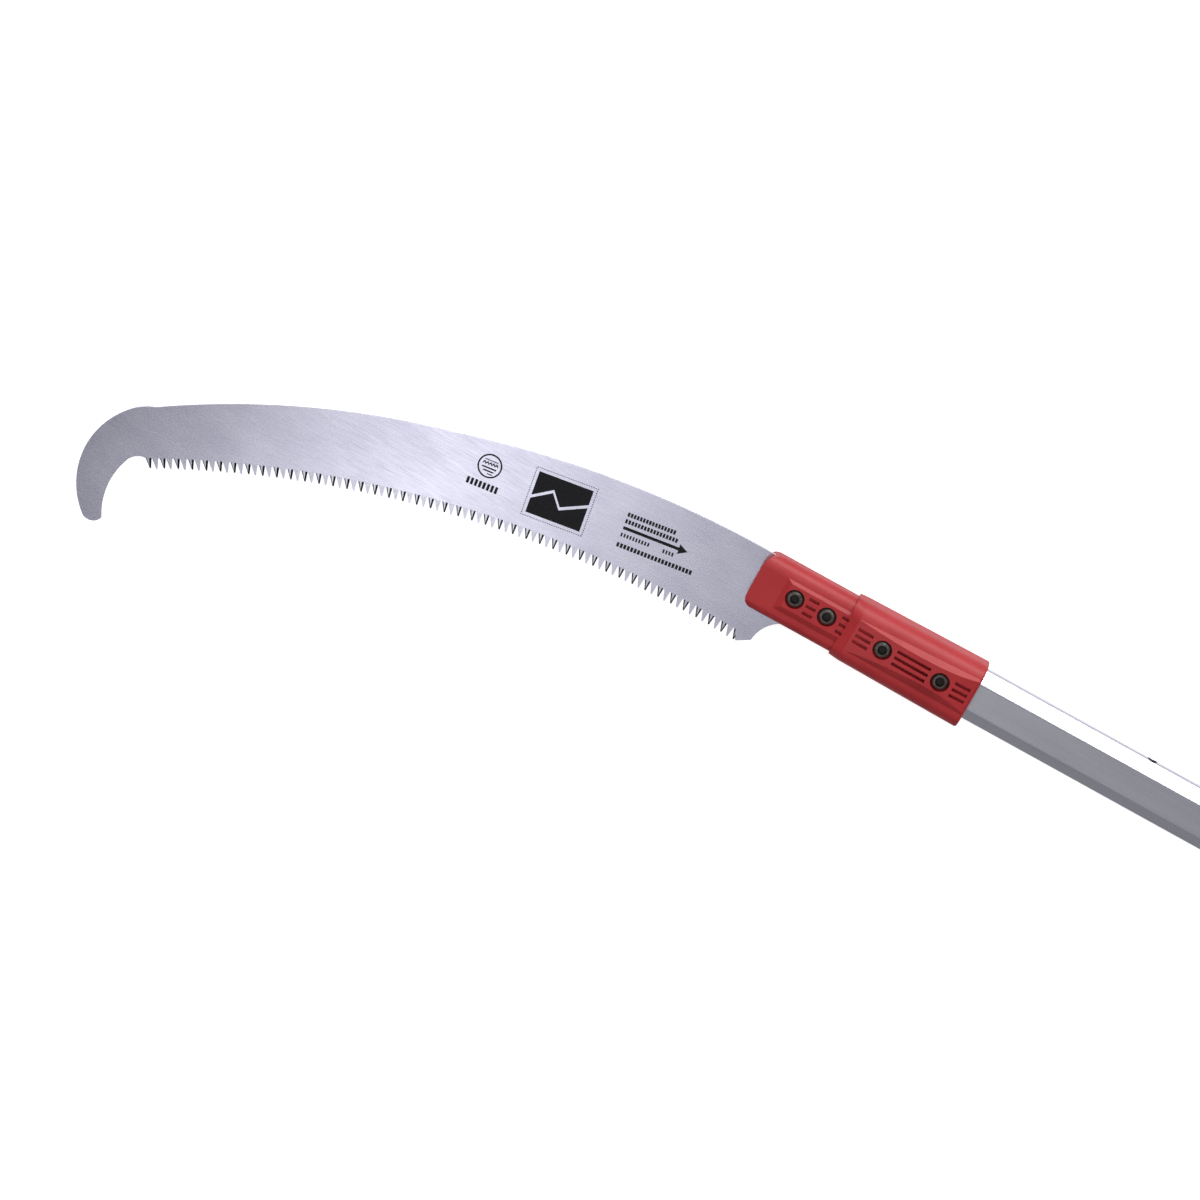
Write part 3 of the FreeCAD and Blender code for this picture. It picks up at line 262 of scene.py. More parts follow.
def plated_steel(name="plated_steel", tint=(0.62, 0.63, 0.65)):
    """Bright zinc plate, slightly uneven."""
    finish = Finish(name, 1.0, 0.28)
    spots = finish.noise(350.0, (1, 1, 1), 3.0)
    finish.colour(finish.ramp(spots, [(0.3, mixed(tint, (0, 0, 0), 0.15)), (0.7, tint)]))
    finish.roughness(finish.spread(spots, 0.2, 0.38))
    finish.bump(spots, 0.08, 0.00004)
    return finish.material


def grip_rubber():
    """Dull soft rubber with a pebbled skin and a little dust."""
    finish = Finish("grip_rubber", 0.0, 0.75)
    pebbles = finish.noise(1500.0, (1, 1, 1), 3.0)
    dust = finish.noise(60.0, (1, 2, 2), 4.0)
    finish.colour(finish.ramp(dust, [(0.35, (0.022, 0.022, 0.024)), (0.75, (0.05, 0.05, 0.052))]))
    finish.roughness(finish.spread(dust, 0.66, 0.86))
    finish.bump(pebbles, 0.35, 0.00012)
    return finish.material


def printing_ink():
    """Black screen-printed ink, a little thin in places."""
    finish = Finish("printing_ink", 0.0, 0.5)
    wear = finish.noise(900.0, (1, 1, 1), 4.0)
    finish.colour(finish.ramp(wear, [(0.3, (0.004, 0.004, 0.005)), (0.72, (0.014, 0.014, 0.016))]))
    finish.surface.inputs["Specular IOR Level"].default_value = 0.15
    finish.roughness(finish.spread(wear, 0.42, 0.6))
    finish.bump(wear, 0.1, 0.00002)
    return finish.material


red_dark, red_light = (0.285, 0.011, 0.014), (0.325, 0.016, 0.019)
steel = brushed_blade_steel()
ground = ground_tooth_steel()
aluminium = anodised_aluminium()
red_plastic = moulded_plastic("red_moulded_plastic", red_dark, red_light, 0.42)
lever_plastic = moulded_plastic("red_lever_plastic", red_dark, red_light, 0.36)
black_plastic = moulded_plastic("black_moulded_plastic", (0.02, 0.02, 0.022), (0.032, 0.032, 0.034), 0.5)
core_plastic = moulded_plastic("grey_core_plastic", (0.09, 0.09, 0.09), (0.12, 0.12, 0.12), 0.55)
black_steel = blackened_steel()
zinc = plated_steel()
spring_wire = plated_steel("spring_wire", (0.42, 0.42, 0.43))
rubber = grip_rubber()
ink = printing_ink()

CAD_FINISHES = {
    "head_shell_near": red_plastic, "head_shell_far": red_plastic,
    "blade_screws": black_steel, "pole_screws": black_steel,
    "blade_nuts": zinc, "pole_nuts": zinc,
    "tube_core": core_plastic, "upper_guide_bush": core_plastic, "middle_guide_bush": core_plastic,
    "upper_tube": aluminium, "middle_tube": aluminium, "lower_tube": aluminium,
    "grip_sleeve": rubber, "butt_cap": black_plastic,
}
for collar in ("upper", "lower"):
    CAD_FINISHES[collar + "_collar"] = black_plastic
    CAD_FINISHES[collar + "_lever"] = lever_plastic
    CAD_FINISHES[collar + "_pin_knob"] = black_plastic
    CAD_FINISHES[collar + "_index_spring"] = spring_wire
    for piece in ("_lever_pin", "_clamp_bolt", "_clamp_nut", "_index_pin", "_spring_cap", "_collar_rivets"):
        CAD_FINISHES[collar + piece] = zinc
for node, material in CAD_FINISHES.items():
    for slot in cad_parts[node].material_slots:
        slot.material = material


# ---- mesh helpers ---------------------------------------------------------------------


def piece_from(name, mesh, body, material=None):
    """Puts a finished mesh in the scene and lets it ride on a body."""
    mesh.name = name
    piece = bpy.data.objects.new(name, mesh)
    bpy.context.scene.collection.objects.link(piece)
    if material is not None:
        mesh.materials.clear()
        mesh.materials.append(material)
    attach(piece, body)
    return piece


def circle_through(start, middle, end):
    """Centre and radius of the circle through three points."""
    ax, ay, bx, by, cx, cy = start.x, start.y, middle.x, middle.y, end.x, end.y
    four_areas = 2 * (ax * (by - cy) + bx * (cy - ay) + cx * (ay - by))
    a2, b2, c2 = ax * ax + ay * ay, bx * bx + by * by, cx * cx + cy * cy
    centre = Vector((
        (a2 * (by - cy) + b2 * (cy - ay) + c2 * (ay - by)) / four_areas,
        (a2 * (cx - bx) + b2 * (ax - cx) + c2 * (bx - ax)) / four_areas,
    ))
    return centre, (start.xy - centre).length


def angle_round(centre, point):
    """Direction of a point from a centre."""
    return math.atan2(point.y - centre.y, point.x - centre.x)


def points_round(centre, radius, angles):
    """The points of a circle at these angles."""
    return [centre + radius * Vector((math.cos(angle), math.sin(angle))) for angle in angles]


def arc_points(start, middle, end, count):
    """Points on the circle through three points, from start to just before end."""
    centre, radius = circle_through(start, middle, end)
    first = angle_round(centre, start)
    turn = (angle_round(centre, end) - first) % math.tau
    if (angle_round(centre, middle) - first) % math.tau > turn:
        turn -= math.tau
    return points_round(centre, radius, [first + turn * i / count for i in range(count)])


def closed_mesh(name, work):
    """Turns the faces outwards and keeps the work as a mesh."""
    bmesh.ops.recalc_face_normals(work, faces=work.faces[:])
    mesh = bpy.data.meshes.new(name)
    work.to_mesh(mesh)
    work.free()
    return mesh


def raise_plate(work, outline, low_z, high_z):
    """Adds a closed flat plate, from its outline's points."""
    base = work.faces.new([work.verts.new((p.x, p.y, low_z)) for p in outline])
    raised = bmesh.ops.extrude_face_region(work, geom=[base])
    top = [item for item in raised["geom"] if isinstance(item, bmesh.types.BMVert)]
    bmesh.ops.translate(work, verts=top, vec=(0, 0, high_z - low_z))


def plate_mesh(name, outline, low_z, high_z, edge):
    """A flat plate from its outline, with a small chamfer on both rims."""
    work = bmesh.new()
    raise_plate(work, outline, low_z, high_z)
    bmesh.ops.recalc_face_normals(work, faces=work.faces[:])
    rims = [e for e in work.edges if abs(e.verts[0].co.z - e.verts[1].co.z) < edge / 10]
    bmesh.ops.bevel(work, geom=rims, offset=edge, segments=1, affect="EDGES", clamp_overlap=True)
    return closed_mesh(name, work)


# ---- geometry node helpers ------------------------------------------------------------


class Tree(Nodes):
    """A geometry node tree under construction, with named inputs."""

    def __init__(self, name, inputs):
        super().__init__(bpy.data.node_groups.new(name, "GeometryNodeTree"))
        self.sockets = {}
        sides = self.tree.interface
        for label, kind in inputs:
            item = sides.new_socket(name=label, in_out="INPUT", socket_type=kind)
            self.sockets[label] = item.identifier
        sides.new_socket(name="Geometry", in_out="OUTPUT", socket_type="NodeSocketGeometry")
        self.inputs = self.add("NodeGroupInput")
        self.outputs = self.add("NodeGroupOutput")

    def given(self, label):
        return self.inputs.outputs[label]

    def feed(self, node, values):
        """Gives the node's first inputs their values, which are sockets or plain numbers."""
        for index, value in enumerate(values):
            if isinstance(value, (int, float)):
                node.inputs[index].default_value = value
            else:
                self.link(value, node.inputs[index])
        return node.outputs[0]

    def maths(self, operation, first, second):
        return self.feed(self.add("ShaderNodeMath", operation=operation), (first, second))

    def vector(self, x, y, z):
        return self.feed(self.add("ShaderNodeCombineXYZ"), (x, y, z))

    def copies(self, points, rotation=None):
        """The form on each point, turned by rotation where there is one."""
        form = self.add("GeometryNodeObjectInfo")
        self.link(self.given("Form"), form.inputs["Object"])
        place = self.add("GeometryNodeInstanceOnPoints")
        self.link(points, place.inputs["Points"])
        self.link(form.outputs["Geometry"], place.inputs["Instance"])
        if rotation is not None:
            self.link(rotation, place.inputs["Rotation"])
        return place.outputs["Instances"]

    def points_in_one_place(self):
        """As many points as Count says, all at Centre."""
        points = self.add("GeometryNodeMeshLine", mode="OFFSET")
        points.inputs["Offset"].default_value = (0, 0, 0)
        self.link(self.given("Count"), points.inputs["Count"])
        self.link(self.given("Centre"), points.inputs["Start Location"])
        return points.outputs["Mesh"]

    def close(self, instances):
        """Realizes the instances and gives them the material that was asked for."""
        real = self.add("GeometryNodeRealizeInstances")
        paint = self.add("GeometryNodeSetMaterial")
        self.link(instances, real.inputs["Geometry"])
        self.link(real.outputs["Geometry"], paint.inputs["Geometry"])
        self.link(self.given("Material"), paint.inputs["Material"])
        self.link(paint.outputs["Geometry"], self.outputs.inputs["Geometry"])


def grow_mesh(name, tree, values):
    """Runs a tree on an empty carrier and keeps the result as a plain mesh."""
    carrier = bpy.data.objects.new(name + "_carrier", bpy.data.meshes.new(name + "_carrier"))
    bpy.context.scene.collection.objects.link(carrier)
    modifier = carrier.modifiers.new("nodes", "NODES")
    modifier.node_group = tree.tree
    for label, value in values.items():
        modifier[tree.sockets[label]] = value
    bpy.context.view_layer.update()
    graph = bpy.context.evaluated_depsgraph_get()
    mesh = bpy.data.meshes.new_from_object(carrier.evaluated_get(graph))
    carrier.modifiers.remove(modifier)
    bpy.data.objects.remove(carrier)
    mesh.name = name
    return mesh


def grow(name, tree, values, body):
    """A grown mesh as a piece that rides on a body; the form that it repeats is removed."""
    piece = piece_from(name, grow_mesh(name, tree, values), body)
    bpy.data.objects.remove(values["Form"])
    return piece


def form_object(mesh):
    """The shape that a tree repeats."""
    item = bpy.data.objects.new(mesh.name, mesh)
    bpy.context.scene.collection.objects.link(item)
    return item


REPEAT_INPUTS = (
    ("Form", "NodeSocketObject"),
    ("Count", "NodeSocketInt"),
    ("Material", "NodeSocketMaterial"),
)


def ring_tree():
    """Copies of a form turned evenly about an axis along y, through Centre."""
    tree = Tree("ring_of_ribs", REPEAT_INPUTS + (("Centre", "NodeSocketVector"),))
    index = tree.add("GeometryNodeInputIndex")
    step = tree.maths("DIVIDE", math.tau, tree.given("Count"))
    angle = tree.maths("MULTIPLY", index.outputs[0], step)
    tree.close(tree.copies(tree.points_in_one_place(), tree.vector(0.0, angle, 0.0)))
    return tree


def row_tree():
    """Copies of a form in a straight row."""
    tree = Tree("row_of_ribs", REPEAT_INPUTS + (
        ("Start", "NodeSocketVector"), ("Step", "NodeSocketVector"),
    ))
    points = tree.add("GeometryNodeMeshLine", mode="OFFSET")
    tree.link(tree.given("Count"), points.inputs["Count"])
    tree.link(tree.given("Start"), points.inputs["Start Location"])
    tree.link(tree.given("Step"), points.inputs["Offset"])
    tree.close(tree.copies(points.outputs["Mesh"]))
    return tree


def coil_tree():
    """A round wire wound along z, with flat ends."""
    tree = Tree("coil_spring", (
        ("Material", "NodeSocketMaterial"), ("Turns", "NodeSocketFloat"), ("Coil Radius", "NodeSocketFloat"),
        ("Height", "NodeSocketFloat"), ("Wire Radius", "NodeSocketFloat"),
    ))
    path = tree.add("GeometryNodeCurveSpiral")
    path.inputs["Resolution"].default_value = 32
    tree.link(tree.given("Turns"), path.inputs["Rotations"])
    tree.link(tree.given("Coil Radius"), path.inputs["Start Radius"])
    tree.link(tree.given("Coil Radius"), path.inputs["End Radius"])
    tree.link(tree.given("Height"), path.inputs["Height"])
    section = tree.add("GeometryNodeCurvePrimitiveCircle")
    section.inputs["Resolution"].default_value = 10
    tree.link(tree.given("Wire Radius"), section.inputs["Radius"])
    sweep = tree.add("GeometryNodeCurveToMesh")
    sweep.inputs["Fill Caps"].default_value = True
    tree.link(path.outputs["Curve"], sweep.inputs["Curve"])
    tree.link(section.outputs["Curve"], sweep.inputs["Profile Curve"])
    tree.close(sweep.outputs["Mesh"])
    return tree


def tooth_tree():
    """Teeth on an arc, each turned to point at its centre."""
    tree = Tree("saw_teeth", REPEAT_INPUTS + (
        ("Centre", "NodeSocketVector"), ("Radius", "NodeSocketFloat"),
        ("First Angle", "NodeSocketFloat"), ("Pitch Angle", "NodeSocketFloat"),
    ))
    index = tree.add("GeometryNodeInputIndex")
    along = tree.maths("MULTIPLY", index.outputs[0], tree.given("Pitch Angle"))
    angle = tree.maths("ADD", tree.given("First Angle"), along)
    reach_x = tree.maths("MULTIPLY", tree.maths("COSINE", angle, 0.0), tree.given("Radius"))
    reach_y = tree.maths("MULTIPLY", tree.maths("SINE", angle, 0.0), tree.given("Radius"))
    move = tree.add("GeometryNodeSetPosition")
    tree.link(tree.points_in_one_place(), move.inputs["Geometry"])
    tree.link(tree.vector(reach_x, reach_y, 0.0), move.inputs["Offset"])
    tree.close(tree.copies(move.outputs["Geometry"], tree.vector(0.0, 0.0, angle)))
    return tree


# ---- blade ----------------------------------------------------------------------------

TOOTH_PITCH = 4.1 * MM
TOOTH_DEPTH = 6.0 * MM
PLATE_EDGE = 0.06 * MM
FIRST_TOOTH = 0.3  # first tooth past the throat, in pitches
HEEL_FLANK = 2.7 * MM  # how far the heel's first edge leans back from its root to its tip
first_tip = at_pole(335, -120.5)
middle_tip = at_pole(181, -59.8)
last_tip = at_pole(-7.5, -40.9)
tooth_centre, tip_radius = circle_through(first_tip, middle_tip, last_tip)


def root_arc(count):
    """Points along the roots of the teeth, from the hook to the heel."""
    start, end = angle_round(tooth_centre, first_tip), angle_round(tooth_centre, last_tip)
    end -= HEEL_FLANK / tip_radius * math.copysign(1, end - start)
    angles = [start + (end - start) * i / count for i in range(count + 1)]
    return points_round(tooth_centre, tip_radius + TOOTH_DEPTH, angles)


def make_blade_plate():
    """The blade without its teeth: tang, spine, hook, roots, heel and the notch behind it."""
    tang_end, tang_top, tang_low = -57.7, 13.0, -13.0
    spine_root = at_pole(0, 14.8)
    shoulder, bow = at_pole(188, -13.1), at_pole(346, -85.8)
    crown, tip_back = at_pole(361.5, -97.5), at_pole(355.5, -163.0)
    tip_front, throat = at_pole(344.8, -159.5), at_pole(347.1, -122.2)
    heel, notch_top = at_pole(-15.3, -36.1), at_pole(-36.1, -16.7)
    notch_middle = at_pole(-21.3, -22.6)
    outline = [at_pole(tang_end, tang_low).xy, at_pole(tang_end, tang_top).xy]
    # The spine, in two long arcs and a short one into the hook.
    outline += arc_points(spine_root, at_pole(94, 8.3), shoulder, 40)
    outline += arc_points(shoulder, at_pole(268, -41.9), bow, 36)
    outline += arc_points(bow, at_pole(354.8, -90.6), crown, 8)
    # The hook's back, its round tip and its inner side.
    outline += arc_points(crown, at_pole(371.9, -127), tip_back, 30)
    outline += arc_points(tip_back, at_pole(349, -163.8), tip_front, 8)
    outline += arc_points(tip_front, at_pole(350.3, -139), throat, 22)
    # The throat, the roots of the teeth, and the heel with its notch.
    first_root = root_arc(1)[0]
    outline += arc_points(throat, at_pole(344, -117.6), Vector((*first_root, 0)), 12)
    outline += root_arc(90)
    outline += [last_tip.xy]
    outline += arc_points(heel, notch_middle, notch_top, 14)
    outline += [notch_top.xy]
    mesh = plate_mesh("saw_blade", outline, pole_z - blade_half, pole_z + blade_half, PLATE_EDGE)
    return piece_from("saw_blade", mesh, "upper_pole", steel)


def tooth_form(name, ground_side):
    """One tooth pointing along -x and leaning to the handle, with bevels on one side.

    The flat on the ground side is a narrow wedge; ground_side is 1 for the near side.
    """
    root, length, lean = 0.35 * MM, TOOTH_DEPTH + 0.25 * MM, 1.0 * MM
    base, tip = 1.92 * MM, 0.42 * MM
    flat_base, flat_tip, flat_length = 0.82 * MM, 0.03 * MM, length - 1.8 * MM
    flat_lean = lean * flat_length / length
    z = ground_side * (blade_half - 0.01 * MM)
    whole = [(root, -base), (root, base), (-length, tip - lean), (-length, -tip - lean)]
    flat = [
        (root, -flat_base), (root, flat_base),
        (-flat_length, flat_tip - flat_lean), (-flat_length, -flat_tip - flat_lean),
    ]
    work = bmesh.new()
    back = [work.verts.new((x, y, -z)) for x, y in whole]
    face = [work.verts.new((x, y, z)) for x, y in flat]
    work.faces.new(back)
    work.faces.new(face)
    for i in range(4):
        j = (i + 1) % 4
        work.faces.new((back[i], back[j], face[j], face[i]))
    return form_object(closed_mesh(name, work))


def make_teeth():
    """Every second tooth is ground on the near side, the others on the far side."""
    tree = tooth_tree()
    start, end = angle_round(tooth_centre, first_tip), angle_round(tooth_centre, last_tip)
    pitch_angle = math.copysign(TOOTH_PITCH / tip_radius, end - start)
    count = int((end - start) / pitch_angle) + 1
    for offset, (name, ground_side) in enumerate((("near_ground_teeth", 1), ("far_ground_teeth", -1))):
        grow(name, tree, {
            "Form": tooth_form(name + "_form", ground_side),
            "Count": (count - offset + 1) // 2,
            "Material": ground,
            "Centre": (tooth_centre.x, tooth_centre.y, pole_z),
            "Radius": tip_radius + TOOTH_DEPTH,
            "First Angle": start + pitch_angle * (offset + FIRST_TOOTH),
            "Pitch Angle": 2 * pitch_angle,
        }, "upper_pole")


blade_piece = make_blade_plate()
make_teeth()
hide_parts("blade")


# ---- grip, knobs and springs ----------------------------------------------------------

CORNER_CUT = 7.5 * MM
CORNER_TRIM = 1.1 * MM  # where the soft corner starts, from the sharp one
CUT_GROWTH = 2 - math.sqrt(2)  # how much the corner cut's leg grows as the section grows by 1
GRIP_WALL = 3.0 * MM
GRIP_RIB_RISE = 1.1 * MM
GRIP_COLLAR = 9.0 * MM
GRIP_SOFT_EDGE = 0.8 * MM
KNOB_RIBS = 26
SPRING_WIRE_RADIUS = 0.36 * MM
tube_half_width = (tube_high.y - tube_low.y) / 2
tube_half_depth = (tube_high.z - tube_low.z) / 2


def pole_section(growth, corner_points=3):
    """The pole's long octagon with soft corners, as (y, z) round the pole's axis."""
    half_width, half_depth = tube_half_width + growth, tube_half_depth + growth
    cut = CORNER_CUT + growth * CUT_GROWTH
    corners = []
    for width_way, depth_way in ((1, 1), (-1, 1), (-1, -1), (1, -1)):
        pair = [
            Vector((width_way * half_width, depth_way * (half_depth - cut))),
            Vector((width_way * (half_width - cut), depth_way * half_depth)),
        ]
        corners += pair if width_way == depth_way else pair[::-1]
    points = []
    for i, corner in enumerate(corners):
        back = (corners[i - 1] - corner).normalized()
        ahead = (corners[(i + 1) % len(corners)] - corner).normalized()
        for j in range(corner_points):
            t = j / (corner_points - 1)
            start, end = corner + back * CORNER_TRIM, corner + ahead * CORNER_TRIM
            points.append(start * (1 - t) ** 2 + corner * 2 * t * (1 - t) + end * t ** 2)
    return points


def sleeve_mesh(name, stations):
    """A closed ring of material; stations are (x, growth) round its section, in order."""
    work = bmesh.new()
    loops = []
    for x, growth in stations:
        loops.append([work.verts.new((x, y, z)) for y, z in pole_section(growth)])
    for i, loop in enumerate(loops):
        ahead = loops[(i + 1) % len(loops)]
        for j in range(len(loop)):
            k = (j + 1) % len(loop)
            work.faces.new((loop[j], loop[k], ahead[k], ahead[j]))
    return closed_mesh(name, work)


def make_grip():
    """Rubber sleeve with a plain collar at each end and raised ribs between."""
    low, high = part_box("grip_sleeve")
    start, end = low.x, high.x
    outer = (high.y - low.y) / 2 - tube_half_width
    inner, base = outer - GRIP_WALL, outer - GRIP_RIB_RISE
    collar, soft = GRIP_COLLAR, GRIP_SOFT_EDGE
    stations = [
        (start, inner), (start, outer - soft), (start + soft, outer), (start + collar, outer),
        (start + collar + soft, base), (end - collar - soft, base), (end - collar, outer),
        (end - soft, outer), (end, outer - soft), (end, inner),
    ]
    mesh = sleeve_mesh("grip_sleeve_rubber", stations)
    mesh.transform(Matrix.Translation((0, pole_y, pole_z)))
    sleeve = piece_from("grip_sleeve_rubber", mesh, "lower_pole", rubber)
    pitch, half_rib, sunk, crown = 5.0 * MM, 1.5 * MM, 0.3 * MM, 0.25 * MM
    profile = [
        (-half_rib, base - sunk), (-half_rib * 0.7, outer - crown), (0, outer),
        (half_rib * 0.7, outer - crown), (half_rib, base - sunk),
    ]
    room = end - start - 2 * collar - 2 * pitch
    count = int(room / pitch) + 1
    first = (start + end) / 2 - (count - 1) * pitch / 2
    ribs = grow("grip_ribs", rows_of, {
        "Form": form_object(sleeve_mesh("rib_form", profile)), "Count": count, "Material": rubber,
        "Start": (first, pole_y, pole_z), "Step": (pitch, 0, 0),
    }, "lower_pole")
    for piece in (sleeve, ribs):
        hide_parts("grip_sleeve")


def knob_rib_form(knob_radius, knob_middle, low_y, high_y):
    """One rib that stands out of a knob's rim, with sloped ends."""
    half, slope = 0.38 * MM, 0.3 * MM
    inside, outside = knob_radius - 0.5 * MM, knob_radius + 0.3 * MM
    work = bmesh.new()
    rings = []
    steps = (
        (low_y, outside - slope), (low_y + slope, outside),
        (high_y - slope, outside), (high_y, outside - slope),
    )
    for y, rim in steps:
        section = [(inside, -half), (rim, -half * 0.4), (rim, half * 0.4), (inside, half)]
        rings.append([work.verts.new((r, y - knob_middle, t)) for r, t in section])
    for lower, upper in zip(rings, rings[1:]):
        for i in range(4):
            j = (i + 1) % 4
            work.faces.new((lower[i], lower[j], upper[j], upper[i]))
    work.faces.new(rings[0])
    work.faces.new(rings[-1])
    return form_object(closed_mesh("knob_rib_form", work))


def make_knob_ribs(name):
    """Fine upright ribs round a pull knob's rim."""
    low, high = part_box(name + "_pin_knob")
    centre = (low + high) / 2
    rim_low, rim_high = high.y - 4.6 * MM, high.y - 1.3 * MM
    form = knob_rib_form((high.x - low.x) / 2, centre.y, rim_low, rim_high)
    grow(name + "_knob_ribs", rings_of, {
        "Form": form, "Count": KNOB_RIBS, "Material": black_plastic, "Centre": tuple(centre),
    }, name + "_plunger")


def make_spring(name):
    """The index spring, wound as a coil of wire in the place of the part's own spring."""
    node = name + "_index_spring"
    low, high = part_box(node)
    wire = SPRING_WIRE_RADIUS
    mesh = grow_mesh(node + "_coil", coils, {
        "Material": spring_wire, "Turns": 4.0, "Coil Radius": (high.x - low.x) / 2 - wire,
        "Height": high.y - low.y - 2 * wire, "Wire Radius": wire,
    })
    centre = (low + high) / 2
    foot = Vector((centre.x, low.y + wire, centre.z))
    mesh.transform(Matrix.Translation(foot) @ Matrix.Rotation(-math.pi / 2, 4, "X"))
    piece = bpy.data.objects.new(node + "_coil", mesh)
    bpy.context.scene.collection.objects.link(piece)
    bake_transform(piece)
    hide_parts(node)


rows_of = row_tree()
rings_of = ring_tree()
coils = coil_tree()
make_grip()
for collar, collar_body in (("upper", "middle_pole"), ("lower", "lower_pole")):
    make_knob_ribs(collar)
    make_spring(collar)


# ---- printing on the blade ------------------------------------------------------------

INK_LOW = pole_z + blade_half - 0.01 * MM
INK_HIGH = pole_z + blade_half + 0.02 * MM
INK_LEVEL = Vector((0, 0, (INK_LOW + INK_HIGH) / 2 - pole_z))


class Sign:
    """A place on the blade with its own turned axes, in mm: right to the head, up to the spine."""

    def __init__(self, reach, across, tilt):
        self.origin = at_pole(reach, across)
        self.tilt = math.radians(tilt)

    def at(self, right, up):
        c, s = math.cos(self.tilt), math.sin(self.tilt)
        return self.origin + Vector((right * c - up * s, right * s + up * c, 0)) * MM


def ink_piece(name, sign, shapes):
    """Flat prints as thin closed plates; shapes are lists of (right, up) corners."""
    work = bmesh.new()
    for corners in shapes:
        raise_plate(work, [sign.at(*corner) for corner in corners], INK_LOW, INK_HIGH)
    piece = piece_from(name, closed_mesh(name, work), "upper_pole", ink)


def bar(left, low, right, high):
    """An upright rectangle's corners."""
    return [(left, low), (right, low), (right, high), (left, high)]


def ring_segments(radius, width, count):
    """A ring as wedge-shaped plates that touch."""
    shapes = []
    for i in range(count):
        turns = [math.tau * i / count, math.tau * (i + 1) / count]
        inner = [((radius - width) * math.cos(t), (radius - width) * math.sin(t)) for t in turns]
        outer = [(radius * math.cos(t), radius * math.sin(t)) for t in turns]
        shapes.append([inner[0], outer[0], outer[1], inner[1]])
    return shapes


def saw_line(left, right, low, height, thickness, count):
    """A zigzag band of count teeth, as one outline."""
    step = (right - left) / count
    upper, lower = [], []
    for i in range(count):
        x = left + step * i
        upper += [(x, low + thickness), (x + step / 2, low + height + thickness)]
        lower += [(x, low), (x + step / 2, low + height)]
    upper.append((right, low + thickness))
    lower.append((right, low))
    return lower + upper[::-1]


RING_SIGN = Sign(162.3, -20.8, 7.0)
BLOCK_SIGN = Sign(118.0, -19.2, 8.6)
ARROW_SIGN = Sign(59.8, -11.8, 7.9)
BLOCK_HALF_WIDTH, BLOCK_HALF_HEIGHT = 16.4, 12.6


def print_ring():
    """A ring with plain bars and a zigzag inside."""
    shapes = ring_segments(7.2, 0.95, 48)
    shapes.append(bar(-4.0, 3.0, 4.0, 3.5))
    shapes.append(saw_line(-4.6, 4.6, 0.2, 1.2, 1.1, 5))
    shapes.append(bar(-4.4, -1.7, 4.4, -0.8))
    shapes.append(bar(-3.0, -3.5, 3.4, -2.7))
    shapes.append(bar(0.0, -5.0, 3.0, -4.4))
    ink_piece("ring_print", RING_SIGN, shapes)


def print_block():
    """A dark block with a light zigzag through it."""
    side, rim, half_gap = BLOCK_HALF_WIDTH, BLOCK_HALF_HEIGHT, 0.95
    steps = ((-side, -3.0), (-5.0, 4.2), (1.2, -4.2), (side, 3.0))
    upper = [(x, y + half_gap) for x, y in steps] + [(side, rim), (-side, rim)]
    lower = [(x, y - half_gap) for x, y in steps[::-1]] + [(-side, -rim), (side, -rim)]
    ink_piece("block_print", BLOCK_SIGN, [upper, lower])


def print_arrow():
    """An arrow to the head: the saw cuts when it is pulled."""
    tail, neck, tip = -19.6, 14.2, 19.6
    shaft, head = bar(tail, -0.9, neck, 0.9), [(neck, -3.0), (tip, 0.0), (neck, 3.0)]
    ink_piece("arrow_print", ARROW_SIGN, [shaft, head])


def tile_form(name, width, height, tilt):
    """A flat tile for rows of dots and ticks, turned by tilt, in ink thickness."""
    work = bmesh.new()
    bmesh.ops.create_cube(work, size=1.0)
    bmesh.ops.scale(work, verts=work.verts, vec=(width * MM, height * MM, INK_HIGH - INK_LOW))
    bmesh.ops.rotate(work, verts=work.verts, matrix=Matrix.Rotation(tilt, 3, "Z"))
    return form_object(closed_mesh(name, work))


def print_rows():
    """Rows of plain ticks where a maker would put notes."""
    rows = (
        # name, sign, left, up, count, width, height, pitch
        ("ring_ticks", RING_SIGN, -8.9, -12.0, 8, 1.6, 4.0, 2.45),
        ("arrow_ticks_high", ARROW_SIGN, -19.0, 8.2, 16, 1.35, 2.5, 1.85),
        ("arrow_ticks_mid", ARROW_SIGN, -19.0, 4.1, 17, 1.35, 2.5, 1.9),
        ("arrow_ticks_low", ARROW_SIGN, -19.0, -4.2, 10, 1.0, 2.3, 1.8),
        ("arrow_ticks_end", ARROW_SIGN, 6.6, -4.4, 4, 1.0, 2.3, 1.8),
        ("base_ticks", ARROW_SIGN, -19.0, -10.4, 22, 1.5, 2.7, 2.1),
    )
    for name, sign, left, up, count, width, height, pitch in rows:
        grow(name, rows_of, {
            "Form": tile_form(name + "_form", width, height, sign.tilt), "Count": count,
            "Material": ink, "Start": sign.at(left, up) + INK_LEVEL,
            "Step": sign.at(pitch, 0) - sign.at(0, 0),
        }, "upper_pole")


